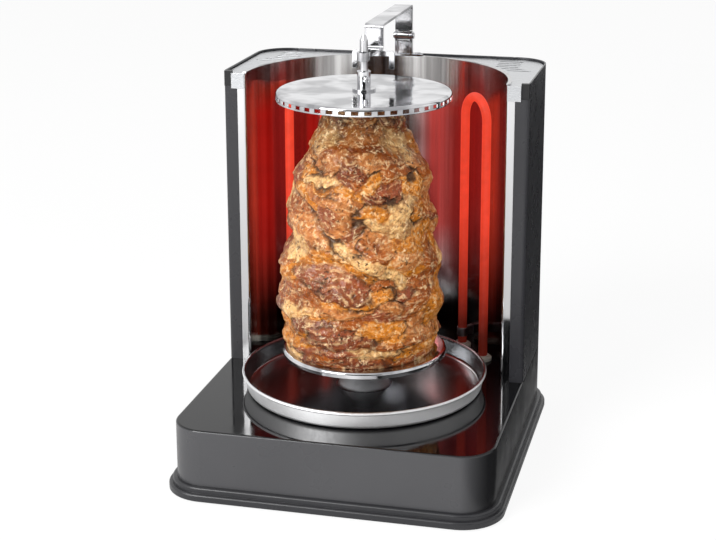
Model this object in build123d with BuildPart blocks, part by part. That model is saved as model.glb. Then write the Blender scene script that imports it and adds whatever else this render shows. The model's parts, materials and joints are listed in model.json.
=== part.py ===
from build123d import *
import os
from math import cos, hypot, pi, radians, sin, sqrt

os.makedirs("parts", exist_ok=True)

# Electric skewer grill: a meat skewer stands on a turning hub in front of a
# half-round reflector with two glowing hairpin heaters.
# Millimetres. X to the right, Y to the back, Z up.
# The origin is on the table, under the middle of the base.

# ---------------------------------------------------------------- driving sizes
# Base
base_width = 300.0
base_depth = 325.0
base_corner = 32.0
base_top = 68.0
base_edge_round = 2.0
sheet = 1.5

# Plastic pan that closes the base from below
pan_overhang = 8.0
pan_ledge_top = 14.0
pan_step_top = 8.5
pan_step_in = 3.5
pan_floor = 2.5
pan_ledge_width = 14.0
pan_edge_round = 2.2
foot_show = 2.0
foot_radius = 11.0
foot_inset = 26.0
foot_depth = 3.5

# Standing housing behind the spit
housing_top = 365.0
column_width = 22.5
column_return = 13.5
column_corner = 4.0
seam = 3.0
back_flange = 18.0
plate_drop = 2.0
plate_sheet = 1.2
plate_gap = 1.2
post_depth = 20.0
post_bend = 3.0
post_room = 3.3
rail_length = 140.0
rail_drop = 14.0

# Reflector
reflector_sheet = 1.2
reflector_bend = 2.0
reflector_lip = 2.6
lip_sheet = 1.2
back_room = 9.2

# Heaters
heater_tube = 9.0
heater_to_mirror = 9.0
heater_near_angle = 28.0
heater_far_angle = 50.0
heater_below_top = 25.0
heater_foot = 10.0

# Spit
spit_forward = 39.6
rod_diameter = 7.6
rod_past_collar = 33.6
foot_diameter = 12.0
socket_depth = 8.5
cross_pin = 4.0
running = 0.08
snug = 0.03

# Tray
tray_side_room = 8.5
tray_height = 18.5
tray_sheet = 1.0
tray_taper = 3.0
tray_floor_round = 4.0
bead = 1.7
cone_base = 25.0
cone_height = 15.5

# Discs
lower_disc_radius = 79.0
disc_above_base = 41.5
lower_disc_rim = 6.0
press_disc_radius = 82.5
disc_below_top = 6.5
press_disc_rim = 8.0
disc_sheet = 1.4
disc_bend = 3.0
rim_slots = 44
rim_slot_height = 3.4
rim_slot_share = 0.55
rim_slot_land = 1.4
seat_gap = 0.3

# Collar on the press disc
collar_diameter = 13.0
collar_height = 18.5
collar_flange = 11.0
collar_flange_thick = 2.0
clamp_angle = 33.0
clamp_rise = 11.0
clamp_shank = 4.0
clamp_head = 6.0
clamp_head_long = 3.2

# Holder arm
strap_width = 18.0
strap_thick = 2.5
strap_bend = 3.0
arm_above_tip = 4.0
arm_reach = 41.0
hinge_inset = 6.5
hinge_rise = 21.0
hinge_pin = 4.0
knuckle_wall = 2.2
eye_under_tip = 24.0
eye_height = 8.0
eye_wall = 2.0
eye_front_room = 2.6
yoke_width = 41.0
yoke_height = 17.0
yoke_bar = 5.0
yoke_thick = 3.0
ear_thick = 2.5
ear_radius = 4.8
ear_gap = 0.3
bracket_foot = 11.0
bracket_thick = 2.0

# Drive
hub_diameter = 22.0
hub_top = 84.0
hub_gap = 1.0
hub_stem = 12.0
motor_diameter = 50.0
motor_offset = 8.0
gear_case_height = 14.0
coil_case_height = 12.0
motor_shaft_diameter = 7.0
motor_drop = 8.0
ear_past_case = 5.0
screw_hole = 2.1

# Switch on the left side of the base
switch_y = -70.0
switch_z = 40.0
switch_long = 21.0
switch_wide = 15.0
bezel_thick = 1.5
rocker_long = 16.0
rocker_tilt = 8.0

# Cord entry at the back of the base
gland_x = -95.0
gland_z = 38.0
gland_diameter = 15.0
gland_bore = 7.0
gland_out = 6.5

# ---------------------------------------------------------------- worked out
half_width = base_width / 2
half_depth = base_depth / 2
base_ceiling = base_top - sheet
pan_top_of_floor = foot_show + pan_floor
reflector_radius = half_width - column_width
reflector_out = reflector_radius + reflector_sheet
reflector_y = half_depth - back_room - reflector_out
column_front = reflector_y - reflector_bend - reflector_sheet / 2
spit_y = reflector_y - spit_forward
heater_circle = reflector_radius - heater_to_mirror - heater_tube / 2
plate_top = housing_top - plate_drop
plate_low = plate_top - plate_sheet
heater_top = housing_top - heater_below_top
tray_radius = reflector_radius - tray_side_room
tray_low = base_top
tray_top = tray_low + tray_height
cone_top = tray_low + cone_height
hub_radius = hub_diameter / 2
rod_radius = rod_diameter / 2
foot_r = foot_diameter / 2
socket_floor = hub_top - socket_depth
motor_top = base_ceiling - motor_drop
motor_y = spit_y + motor_offset
motor_ear = motor_diameter / 2 + ear_past_case
lower_disc_top = base_top + disc_above_base
press_disc_under = housing_top - disc_below_top
press_plate_top = press_disc_under + disc_sheet
clamp_z = press_plate_top + clamp_rise
rod_top = press_plate_top + collar_height + rod_past_collar
arm_top = rod_top + arm_above_tip
arm_front_y = spit_y + arm_reach
arm_hinge_y = half_depth - hinge_inset
arm_hinge_z = plate_top + hinge_rise
eye_low = rod_top - eye_under_tip
axis_plane = Plane((0, spit_y, 0))


def save(piece, name):
    """Label a finished piece and write it to its own file."""
    piece.part.label = name
    export_step(piece.part, f"parts/{name}.step")


def on_reflector(angle):
    """Centre of a heater leg at an angle from the X axis, on the right side."""
    turn = radians(angle)
    return heater_circle * cos(turn), reflector_y + heater_circle * sin(turn)


legs = [on_reflector(heater_near_angle), on_reflector(heater_far_angle)]
leg_points = [(side * x, y) for side in (-1, 1) for x, y in legs]


# ---------------------------------------------------------------- base
post_inset_x = 38.0
post_inset_y = 46.0


def four_corners(inset_x, inset_y):
    """Points set in from the base's four corners."""
    reach_x, reach_y = half_width - inset_x, half_depth - inset_y
    return [(sx * reach_x, sy * reach_y) for sx in (-1, 1) for sy in (-1, 1)]


foot_points = four_corners(foot_inset, foot_inset)
post_points = four_corners(post_inset_x, post_inset_y)
base_post_across = 10.0
base_screw_hole = 2.2

with BuildPart() as base_pan:
    with BuildSketch(Plane.XY.offset(foot_show)):
        RectangleRounded(
            base_width + 2 * pan_overhang, base_depth + 2 * pan_overhang, base_corner + pan_overhang
        )
    extrude(amount=pan_step_top - foot_show)
    fillet(base_pan.faces().sort_by(Axis.Z)[-1].edges(), radius=pan_edge_round)
    upper_step = pan_overhang - pan_step_in
    with BuildSketch(Plane.XY.offset(pan_top_of_floor)):
        RectangleRounded(
            base_width + 2 * upper_step, base_depth + 2 * upper_step, base_corner + upper_step
        )
    extrude(amount=pan_ledge_top - pan_top_of_floor)
    fillet(base_pan.faces().sort_by(Axis.Z)[-1].edges(), radius=pan_edge_round)
    ledge_in = pan_ledge_width - pan_overhang
    with BuildSketch(Plane.XY.offset(pan_top_of_floor)):
        RectangleRounded(base_width - 2 * ledge_in, base_depth - 2 * ledge_in, base_corner - ledge_in)
    extrude(amount=pan_ledge_top, mode=Mode.SUBTRACT)
    # Stiffening ribs across the floor
    rib_height = 5.0
    with BuildSketch(Plane.XY.offset(pan_top_of_floor)):
        with GridLocations(0, base_depth / 4, 1, 3):
            Rectangle(base_width - 2 * ledge_in, 2.0)
    extrude(amount=rib_height)
    # Round wells for the rubber feet, with their floors raised inside
    with BuildSketch(Plane.XY.offset(pan_top_of_floor)):
        with Locations(*foot_points):
            Circle(foot_radius + 2.0)
    extrude(amount=foot_depth)
    with BuildSketch(Plane.XY.offset(foot_show)):
        with Locations(*foot_points):
            Circle(foot_radius + snug)
    extrude(amount=foot_depth, mode=Mode.SUBTRACT)
    # Air slots and screw holes
    with BuildSketch(Plane.XY.offset(foot_show)):
        with GridLocations(30, base_depth / 4, 5, 2):
            SlotOverall(22, 4, rotation=90)
        with Locations(*post_points):
            Circle(base_screw_hole)
    extrude(amount=pan_floor, mode=Mode.SUBTRACT)
save(base_pan, "base_pan")

with BuildPart() as foot_pads:
    with BuildSketch():
        with Locations(*foot_points):
            Circle(foot_radius - 1.0)
    extrude(amount=foot_show)
    with BuildSketch(Plane.XY.offset(foot_show)):
        with Locations(*foot_points):
            Circle(foot_radius)
    extrude(amount=foot_depth)
save(foot_pads, "foot_pads")

with BuildPart() as base_posts:
    with BuildSketch(Plane.XY.offset(pan_top_of_floor)):
        with Locations(*post_points):
            RegularPolygon(base_post_across / 2, 6, major_radius=False)
            Circle(base_screw_hole, mode=Mode.SUBTRACT)
    extrude(amount=base_ceiling - pan_top_of_floor)
save(base_posts, "base_posts")

screw_head = 4.2
base_screw_long = 14.0
with BuildPart() as base_screws:
    with BuildSketch(Plane.XY.offset(foot_show - 1.6)):
        with Locations(*post_points):
            Circle(screw_head)
    extrude(amount=1.6)
    with BuildSketch(Plane.XY.offset(foot_show)):
        with Locations(*post_points):
            Circle(base_screw_hole - snug)
    extrude(amount=base_screw_long)
save(base_screws, "base_screws")

bush_body = heater_tube / 2 + 2.4
bush_flange = heater_tube / 2 + 4.5
stem_hole = hub_stem / 2 + 2.5
switch_body_long = switch_long - 2.0
switch_body_wide = switch_wide - 2.0

with BuildPart() as base_housing:
    with BuildSketch(Plane.XY.offset(pan_ledge_top)):
        RectangleRounded(base_width, base_depth, base_corner)
    extrude(amount=base_top - pan_ledge_top)
    fillet(base_housing.faces().sort_by(Axis.Z)[-1].edges(), radius=base_edge_round)
    with BuildSketch(Plane.XY.offset(pan_ledge_top)):
        RectangleRounded(base_width - 2 * sheet, base_depth - 2 * sheet, base_corner - sheet)
    extrude(amount=base_ceiling - pan_ledge_top, mode=Mode.SUBTRACT)
    # Drive hole and heater holes through the top
    with BuildSketch(Plane.XY.offset(base_ceiling)):
        with Locations((0, spit_y)):
            Circle(stem_hole)
        with Locations(*leg_points):
            Circle(bush_body)
    extrude(amount=sheet, mode=Mode.SUBTRACT)
    # Switch cut-out in the left wall
    with BuildSketch(Plane.YZ.offset(-half_width)):
        with Locations((switch_y, switch_z)):
            Rectangle(switch_body_long, switch_body_wide)
    extrude(amount=sheet, mode=Mode.SUBTRACT)
    # Cord entry in the back wall
    with BuildSketch(Plane.XZ.offset(-half_depth)):
        with Locations((gland_x, gland_z)):
            Circle(gland_diameter / 2 - 2.0)
    extrude(amount=sheet, mode=Mode.SUBTRACT)
save(base_housing, "base_housing")


# ---------------------------------------------------------------- housing
def side_panel(side):
    """One wrapped side sheet: front return, flat side, round rear corner and rear flange."""
    mid = sheet / 2
    back_mid = half_depth - mid
    rear_end = half_width - base_corner - sheet
    points = [
        (half_width - column_return, column_front + mid),
        (half_width - mid, column_front + mid),
        (half_width - mid, back_mid),
        (rear_end, back_mid),
        (rear_end - seam, back_mid - sheet),
        (rear_end - seam - back_flange, back_mid - sheet),
    ]
    bends = [column_corner - mid, base_corner - mid, sheet, sheet]
    with BuildPart() as panel:
        with BuildSketch(Plane.XY.offset(base_top)):
            with BuildLine() as outline:
                FilletPolyline(*[(side * x, y) for x, y in points], radius=bends)
            trace(outline.line, line_width=sheet)
        extrude(amount=housing_top - base_top)
        # Notch for the black plug at the top of the front corner
        with BuildSketch(Plane.XZ.offset(-column_front)):
            with Locations((side * half_width, housing_top)):
                Rectangle(2 * plug_width, 2 * plug_height)
        extrude(amount=-(column_corner + sheet), mode=Mode.SUBTRACT)
        # The front return ends under the top plate
        with BuildSketch(Plane.XZ.offset(-(column_front + sheet))):
            with Locations((side * (half_width - column_return), housing_top)):
                Rectangle(2 * (column_return - plug_width), 2 * (housing_top - plate_low))
        extrude(amount=2 * sheet, mode=Mode.SUBTRACT)
        # Screw holes in the rear flange
        with BuildSketch(Plane.XZ.offset(-half_depth)):
            with Locations(*[(side * screw_x, z) for z in panel_screw_heights]):
                Circle(screw_hole)
        extrude(amount=3 * sheet, mode=Mode.SUBTRACT)
    return panel


plug_width = 8.0
plug_height = 15.0
ear_out = strap_width / 2
ear_in = ear_out - ear_thick
knuckle_half = ear_in - ear_gap
bracket_half = ear_out + bracket_foot
screw_x = half_width - base_corner - sheet - seam - back_flange / 2
screw_end_room = 20.0
screw_pitch = (housing_top - base_top - 2 * screw_end_room) / 3
panel_screw_heights = [base_top + screw_end_room + step * screw_pitch for step in range(4)]

left_side_panel = side_panel(-1)
save(left_side_panel, "left_side_panel")
right_side_panel = side_panel(1)
save(right_side_panel, "right_side_panel")

back_panel_width = base_width - 2 * (base_corner + sheet + seam) - 1.0
vent_rows = 5
vent_pitch = 11.0
vent_long = 52.0
vent_high = 4.0
vent_land = 9.0
vent_rise = 62.0
vent_drop = 85.0
with BuildPart() as back_panel:
    with BuildSketch(Plane.XZ.offset(-half_depth)):
        with Locations((0, (base_top + housing_top) / 2)):
            Rectangle(back_panel_width, housing_top - base_top)
        for z in (base_top + vent_rise, housing_top - vent_drop):
            with Locations((0, z)):
                with GridLocations(vent_long + vent_land, vent_pitch, 3, vent_rows):
                    SlotOverall(vent_long, vent_high, mode=Mode.SUBTRACT)
        with Locations(*[(side * screw_x, z) for side in (-1, 1) for z in panel_screw_heights]):
            Circle(screw_hole, mode=Mode.SUBTRACT)
    extrude(amount=sheet)
save(back_panel, "back_panel")

head_radius = 3.6
head_high = 1.8
shank_long = 7.0
with BuildPart() as panel_screws:
    with BuildSketch(Plane.XZ.offset(-half_depth)):
        with Locations(*[(side * screw_x, z) for side in (-1, 1) for z in panel_screw_heights]):
            Circle(head_radius)
    extrude(amount=-head_high)
    with BuildSketch(Plane.XZ.offset(-half_depth)):
        with Locations(*[(side * screw_x, z) for side in (-1, 1) for z in panel_screw_heights]):
            Circle(screw_hole - snug)
    extrude(amount=shank_long)
save(panel_screws, "panel_screws")

with BuildPart() as corner_plugs:
    plug_in = column_corner + sheet
    with BuildSketch(Plane.XZ.offset(-(column_front + 0.5))):
        for side in (-1, 1):
            with Locations((side * (half_width - plug_width / 2 - 0.3), housing_top - plug_height / 2)):
                Rectangle(plug_width - 0.6, plug_height)
    extrude(amount=-(plug_in - 1.0))
save(corner_plugs, "corner_plugs")


def inner_post(side):
    """Steel channel that stands in one column and carries the sheets."""
    mid = plate_sheet / 2
    outer_x = half_width - sheet - mid
    inner_x = reflector_out + post_room
    front_y = column_front + sheet + mid
    rear_y = front_y + post_depth
    points = [(inner_x, rear_y), (inner_x, front_y), (outer_x, front_y), (outer_x, rear_y)]
    with BuildPart() as post:
        with BuildSketch(Plane.XY.offset(base_top)):
            with BuildLine() as outline:
                FilletPolyline(*[(side * x, y) for x, y in points], radius=post_bend)
            trace(outline.line, line_width=plate_sheet)
        extrude(amount=plate_low - base_top)
        # The top of the front web is cut away behind the plug
        with BuildSketch(Plane.XZ.offset(-column_front)):
            with Locations((side * half_width, housing_top)):
                Rectangle(2 * plug_width + 0.6, 2 * plug_height + 0.6)
        extrude(amount=-(column_corner + 2 * sheet), mode=Mode.SUBTRACT)
    return post


left_post = inner_post(-1)
save(left_post, "left_post")
right_post = inner_post(1)
save(right_post, "right_post")

with BuildPart() as reflector:
    mid_radius = reflector_radius + reflector_sheet / 2
    flange_y = column_front + reflector_sheet / 2
    flange_end = half_width - column_return - 0.2
    with BuildSketch(Plane.XY.offset(base_top)):
        with BuildLine() as outline:
            CenterArc((0, reflector_y), mid_radius, 0, 180)
            for side in (-1, 1):
                bend_x = side * (mid_radius + reflector_bend)
                start = 180 if side > 0 else 0
                CenterArc((bend_x, reflector_y), reflector_bend, start, side * 90)
                Line((bend_x, flange_y), (side * flange_end, flange_y))
        trace(outline.line, line_width=reflector_sheet)
    extrude(amount=plate_top - base_top)
    # Turned-out lip that lies on the top plates
    with BuildSketch(Plane.XY.offset(plate_top)):
        with BuildLine():
            CenterArc((0, reflector_y), reflector_radius + reflector_lip + reflector_sheet, 0, 180)
            Line(
                (-reflector_radius - reflector_lip - reflector_sheet, reflector_y),
                (-reflector_radius, reflector_y),
            )
            CenterArc((0, reflector_y), reflector_radius, 180, -180)
            Line(
                (reflector_radius, reflector_y),
                (reflector_radius + reflector_lip + reflector_sheet, reflector_y),
            )
        make_face()
    extrude(amount=lip_sheet)
    # The front flanges end under the top plates
    with BuildSketch(Plane.XY.offset(plate_low)):
        for side in (-1, 1):
            with Locations((side * (reflector_out + 0.1 + column_width / 2), reflector_y)):
                Rectangle(column_width, 4 * reflector_bend + 0.2)
    extrude(amount=plate_sheet, mode=Mode.SUBTRACT)
    # The lip stops either side of the arm's bracket
    with BuildSketch(Plane.XY.offset(plate_top)):
        with Locations((0, reflector_y + reflector_out)):
            Rectangle(2 * bracket_half + 1, 4 * reflector_lip + 2)
    extrude(amount=lip_sheet, mode=Mode.SUBTRACT)
save(reflector, "reflector")

plate_inset = sheet + plate_gap
air_slots = 6
air_slot_long = 24.0
air_slot_high = 3.4
air_slot_pitch = 9.5
air_slot_inset = 15.0
air_slot_land = 10.0
air_slot_span = 58.0


def top_plate(side):
    """One corner plate between the reflector and the outer corner, with air slots."""
    with BuildPart() as plate:
        with BuildSketch(Plane.XY.offset(plate_low)):
            reach_x = half_width - plate_inset
            reach_y = half_depth - 2 * sheet - 0.3
            with BuildLine():
                corner = base_corner - plate_inset
                Polyline(
                    (side * reach_x, reach_y - corner),
                    (side * reach_x, column_front - plate_sheet),
                    (side * 0.2, column_front - plate_sheet),
                    (side * 0.2, reach_y),
                    (side * (reach_x - corner), reach_y),
                )
                RadiusArc(
                    (side * (reach_x - corner), reach_y), (side * reach_x, reach_y - corner), side * corner
                )
            make_face()
            with Locations((0, reflector_y)):
                Circle(reflector_out + 0.2, mode=Mode.SUBTRACT)
            with Locations((side * reflector_out / 2, column_front)):
                Rectangle(
                    reflector_out + 0.4, 2 * (reflector_bend + reflector_sheet + 1), mode=Mode.SUBTRACT
                )
            # Clear of the side sheet's corner, in front of the plug
            with Locations((side * half_width, column_front)):
                Rectangle(2 * plug_width, 2 * (column_corner + 1), mode=Mode.SUBTRACT)
            for row in range(air_slots):
                slot_y = half_depth - plate_inset - air_slot_inset - air_slot_pitch * row
                arc_x = sqrt(reflector_out**2 - (slot_y - reflector_y) ** 2)
                slot_x = max(arc_x, half_width - air_slot_span) + air_slot_land + air_slot_long / 2
                with Locations((side * slot_x, slot_y)):
                    SlotOverall(air_slot_long, air_slot_high, mode=Mode.SUBTRACT)
        extrude(amount=plate_sheet)
        # Front flange folded down over the column
        flange_in = reflector_out + 0.2
        flange_out = half_width - plug_width
        with BuildSketch(Plane.XZ.offset(-(column_front - plate_sheet))):
            with Locations((side * (flange_in + flange_out) / 2, plate_top - plug_height / 2)):
                Rectangle(flange_out - flange_in, plug_height)
        extrude(amount=-plate_sheet)
    return plate


left_top_plate = top_plate(-1)
save(left_top_plate, "left_top_plate")
right_top_plate = top_plate(1)
save(right_top_plate, "right_top_plate")

with BuildPart() as rear_rail:
    rail_back = half_depth - sheet
    rail_front = reflector_y + reflector_out + 0.2
    with BuildSketch(Plane.YZ.offset(-rail_length / 2)):
        with BuildLine():
            Polyline(
                (rail_front, plate_low),
                (rail_back, plate_low),
                (rail_back, plate_low - rail_drop),
                (rail_back - sheet, plate_low - rail_drop),
                (rail_back - sheet, plate_low - sheet),
                (rail_front, plate_low - sheet),
                close=True,
            )
        make_face()
    extrude(amount=rail_length)
save(rear_rail, "rear_rail")


# ---------------------------------------------------------------- heaters
leg_low = base_ceiling - heater_foot


def hairpin(side):
    """Hairpin tube: two straight legs joined by a half turn at the top."""
    (near_x, near_y), (far_x, far_y) = legs
    across = (side * (far_x - near_x), far_y - near_y)
    half_span = hypot(*across) / 2
    ux, uy = across[0] / (2 * half_span), across[1] / (2 * half_span)
    middle = (side * (near_x + far_x) / 2, (near_y + far_y) / 2, 0)
    upright = Plane(origin=middle, x_dir=(ux, uy, 0), z_dir=(uy, -ux, 0))
    bend_z = heater_top - heater_tube / 2 - half_span
    with BuildPart() as tube:
        with BuildLine(upright):
            Line((-half_span, leg_low), (-half_span, bend_z))
            CenterArc((0, bend_z), half_span, 180, -180)
            Line((half_span, bend_z), (half_span, leg_low))
        with BuildSketch(Plane((side * near_x, near_y, leg_low))):
            Circle(heater_tube / 2)
        sweep()
    return tube


left_heater = hairpin(-1)
save(left_heater, "left_heater")
right_heater = hairpin(1)
save(right_heater, "right_heater")

bush_low = leg_low + 3.0
bush_high = base_top + 5.0
with BuildPart() as heater_bushes:
    with BuildSketch(Plane.XY.offset(bush_low)):
        with Locations(*leg_points):
            Circle(bush_body - snug)
    extrude(amount=bush_high - bush_low)
    with BuildSketch(Plane.XY.offset(base_top)):
        with Locations(*leg_points):
            Circle(bush_flange)
    extrude(amount=3.0)
    with BuildSketch(Plane.XY.offset(bush_low)):
        with Locations(*leg_points):
            Circle(heater_tube / 2 + snug)
    extrude(amount=bush_high - bush_low, mode=Mode.SUBTRACT)
save(heater_bushes, "heater_bushes")

stud_long = 9.0
with BuildPart() as heater_terminals:
    with BuildSketch(Plane.XY.offset(leg_low - stud_long)):
        with Locations(*leg_points):
            Circle(1.6)
    extrude(amount=stud_long)
    with BuildSketch(Plane.XY.offset(leg_low - stud_long + 3.0)):
        with Locations(*leg_points):
            RegularPolygon(3.4, 6, major_radius=False)
    extrude(amount=2.6)
save(heater_terminals, "heater_terminals")

clip_height = 80.0
clip_wide = 9.0
clip_sheet = 1.2
clip_tail = 20.0
clip_spread = radians(12)
with BuildPart() as heater_clips:
    # One spring clip behind each far leg, riveted to the reflector
    tail = reflector_radius - 0.1
    near_x, near_y = tail * cos(clip_spread), tail * sin(clip_spread)
    far_x = tail + clip_tail
    for side in (-1, 1):
        turn = radians(heater_far_angle if side > 0 else 180 - heater_far_angle)
        radial = Plane(origin=(0, reflector_y, clip_height), x_dir=(cos(turn), sin(turn), 0))
        with BuildSketch(radial):
            with Locations((heater_circle, 0)):
                Circle(heater_tube / 2 + snug + clip_sheet)
                with Locations((heater_tube, 0)):
                    Rectangle(2 * heater_tube, heater_tube * 0.55)
                Circle(heater_tube / 2 + snug, mode=Mode.SUBTRACT)
            # The clip ends at the mirror's face
            with BuildLine():
                ThreePointArc((near_x, -near_y), (tail, 0), (near_x, near_y))
                Polyline((near_x, near_y), (far_x, near_y), (far_x, -near_y), (near_x, -near_y))
            make_face(mode=Mode.SUBTRACT)
        extrude(amount=clip_wide)
save(heater_clips, "heater_clips")


# ---------------------------------------------------------------- drive
lug_radius = 5.0
lug_thick = 2.0
gear_low = motor_top - gear_case_height
shaft_seat = 10.0
with BuildPart() as motor_gear_case:
    with BuildSketch(Plane.XY.offset(gear_low)):
        with Locations((0, motor_y)):
            Circle(motor_diameter / 2)
    extrude(amount=gear_case_height)
    with BuildSketch(Plane.XY.offset(motor_top - lug_thick)):
        with Locations((0, motor_y)):
            SlotOverall(2 * (motor_ear + lug_radius), 2 * lug_radius)
            with GridLocations(2 * motor_ear, 0, 2, 1):
                Circle(screw_hole, mode=Mode.SUBTRACT)
    extrude(amount=lug_thick)
    with BuildSketch(Plane.XY.offset(motor_top - shaft_seat)):
        with Locations((0, spit_y)):
            Circle(motor_shaft_diameter / 2 + running)
    extrude(amount=shaft_seat, mode=Mode.SUBTRACT)
    fillet(
        motor_gear_case.edges().filter_by(GeomType.CIRCLE).group_by(Axis.Z)[0], radius=1.0
    )
save(motor_gear_case, "motor_gear_case")

coil_low = gear_low - coil_case_height
lead_block_wide = 16.0
lead_block_deep = 9.0
with BuildPart() as motor_coil_case:
    with BuildSketch(Plane.XY.offset(coil_low)):
        with Locations((0, motor_y)):
            Circle(motor_diameter / 2 - 1.0)
            with Locations((0, -motor_diameter / 2)):
                Rectangle(lead_block_wide, lead_block_deep)
    extrude(amount=coil_case_height)
    fillet(motor_coil_case.faces().sort_by(Axis.Z)[0].edges(), radius=1.5)
save(motor_coil_case, "motor_coil_case")

bracket_half_x = 46.0
bracket_half_y = 20.0
bracket_sheet = 1.5
bracket_flange = 14.0
bracket_slope = 3.0
bracket_bend = 2.0
with BuildPart() as motor_bracket:
    mid = bracket_sheet / 2
    foot_out = bracket_half_x + bracket_flange
    points = [
        (-foot_out, base_ceiling - mid),
        (-bracket_half_x, base_ceiling - mid),
        (-bracket_half_x + bracket_slope, motor_top + mid),
        (bracket_half_x - bracket_slope, motor_top + mid),
        (bracket_half_x, base_ceiling - mid),
        (foot_out, base_ceiling - mid),
    ]
    with BuildSketch(Plane.XZ.offset(-(motor_y - bracket_half_y))):
        with BuildLine() as outline:
            FilletPolyline(*points, radius=bracket_bend)
        trace(outline.line, line_width=bracket_sheet)
    extrude(amount=-2 * bracket_half_y)
    with BuildSketch(Plane.XY.offset(motor_top)):
        with Locations((0, spit_y)):
            Circle(hub_stem / 2 + 1.5)
        with Locations((0, motor_y)):
            with GridLocations(2 * motor_ear, 0, 2, 1):
                Circle(screw_hole)
    extrude(amount=bracket_sheet, mode=Mode.SUBTRACT)
save(motor_bracket, "motor_bracket")

motor_screw_head = 2.4
motor_screw_past = 1.5
with BuildPart() as motor_screws:
    motor_screw_low = motor_top - lug_thick
    with BuildSketch(Plane.XY.offset(motor_screw_low - motor_screw_head)):
        with Locations((0, motor_y)):
            with GridLocations(2 * motor_ear, 0, 2, 1):
                Circle(head_radius)
    extrude(amount=motor_screw_head)
    with BuildSketch(Plane.XY.offset(motor_screw_low)):
        with Locations((0, motor_y)):
            with GridLocations(2 * motor_ear, 0, 2, 1):
                Circle(screw_hole - snug)
    extrude(amount=lug_thick + bracket_sheet + motor_screw_past)
save(motor_screws, "motor_screws")

shaft_r = motor_shaft_diameter / 2
shaft_low = motor_top - shaft_seat + 0.5
shaft_high = base_top + 3.0
with BuildPart() as motor_shaft:
    with BuildSketch(axis_plane.offset(shaft_low)):
        Circle(shaft_r)
    extrude(amount=shaft_high - shaft_low)
    chamfer(motor_shaft.faces().sort_by(Axis.Z)[-1].edges(), length=0.6)
save(motor_shaft, "motor_shaft")

stem_low = motor_top + bracket_sheet + 0.5
hub_low = base_top + hub_gap
slot_floor = socket_floor + 2.4
with BuildPart() as drive_hub:
    with BuildSketch(axis_plane.offset(stem_low)):
        Circle(hub_stem / 2)
    extrude(amount=hub_low - stem_low)
    with BuildSketch(axis_plane.offset(hub_low)):
        Circle(hub_radius)
    extrude(amount=hub_top - hub_low)
    chamfer(drive_hub.faces().sort_by(Axis.Z)[-1].edges(), length=1.0)
    # Round socket for the skewer's foot and a cross slot for its driving pin
    with BuildSketch(axis_plane.offset(socket_floor)):
        Circle(foot_r + running)
    extrude(amount=socket_depth, mode=Mode.SUBTRACT)
    with BuildSketch(axis_plane.offset(slot_floor)):
        Rectangle(2 * hub_radius + 2, cross_pin + 2 * running)
    extrude(amount=hub_top - slot_floor, mode=Mode.SUBTRACT)
    # Bore for the motor shaft
    with BuildSketch(axis_plane.offset(stem_low)):
        Circle(shaft_r + snug)
    extrude(amount=shaft_high - stem_low + 0.2, mode=Mode.SUBTRACT)
    # Cross hole for the spring pin, through the stem
    with BuildSketch(Plane((0, spit_y, hub_low - 3.5), x_dir=(0, 1, 0), z_dir=(1, 0, 0))):
        Circle(1.25 + snug)
    extrude(amount=hub_stem, both=True, mode=Mode.SUBTRACT)
save(drive_hub, "drive_hub")

with BuildPart() as hub_bush:
    bush_out = stem_hole - snug
    with BuildSketch(axis_plane.offset(base_ceiling - 1.6)):
        Circle(bush_out + 2.5)
    extrude(amount=1.6)
    with BuildSketch(axis_plane.offset(base_ceiling)):
        Circle(bush_out)
    extrude(amount=sheet + 0.5)
    with BuildSketch(axis_plane.offset(base_ceiling - 1.6)):
        Circle(hub_stem / 2 + running)
    extrude(amount=sheet + 2.1, mode=Mode.SUBTRACT)
save(hub_bush, "hub_bush")


# ---------------------------------------------------------------- tray
tray_hole = hub_radius + 1.5
with BuildPart() as drip_tray:
    wall_x = tray_radius - bead
    with BuildSketch(Plane.XZ):
        with BuildLine():
            foot = wall_x - tray_taper - tray_sheet
            inner_bend, outer_bend = tray_floor_round, tray_floor_round + tray_sheet
            FilletPolyline(
                (tray_hole, cone_top - tray_sheet),
                (cone_base - tray_sheet, tray_low),
                (foot, tray_low),
                (wall_x, tray_top - bead),
                radius=[inner_bend, outer_bend],
            )
            Line((wall_x, tray_top - bead), (wall_x - tray_sheet, tray_top - bead))
            FilletPolyline(
                (wall_x - tray_sheet, tray_top - bead),
                (foot - tray_sheet, tray_low + tray_sheet),
                (cone_base, tray_low + tray_sheet),
                (tray_hole + tray_sheet, cone_top),
                radius=[inner_bend, outer_bend],
            )
            Polyline(
                (tray_hole + tray_sheet, cone_top),
                (tray_hole, cone_top),
                (tray_hole, cone_top - tray_sheet),
            )
        make_face()
    revolve(axis=Axis.Z)
    # Rolled bead round the rim
    with BuildSketch(Plane.XZ):
        with Locations((wall_x - tray_sheet / 2, tray_top - bead)):
            Circle(bead)
    revolve(axis=Axis.Z)
drip_tray.part = Pos(0, spit_y, 0) * drip_tray.part
save(drip_tray, "drip_tray")


# ---------------------------------------------------------------- spit
rod_low = socket_floor + socket_depth + 4.0
shoulder_low = lower_disc_top - disc_sheet - 3.0
with BuildPart() as skewer_foot:
    with BuildSketch(axis_plane.offset(socket_floor + 0.3)):
        Circle(foot_r)
    extrude(amount=shoulder_low - socket_floor - 0.3)
    with BuildSketch(axis_plane.offset(shoulder_low)):
        Circle(foot_r + 7.0)
    extrude(amount=3.0)
    with BuildSketch(axis_plane.offset(rod_low)):
        Circle(rod_radius + snug)
    extrude(amount=lower_disc_top - rod_low, mode=Mode.SUBTRACT)
    with BuildSketch(Plane((0, spit_y, slot_floor + cross_pin / 2 + 0.1), x_dir=(0, 1, 0), z_dir=(1, 0, 0))):
        Circle(cross_pin / 2 + snug)
    extrude(amount=foot_diameter, both=True, mode=Mode.SUBTRACT)
    chamfer(skewer_foot.faces().sort_by(Axis.Z)[0].edges(), length=1.0)
save(skewer_foot, "skewer_foot")

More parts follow.
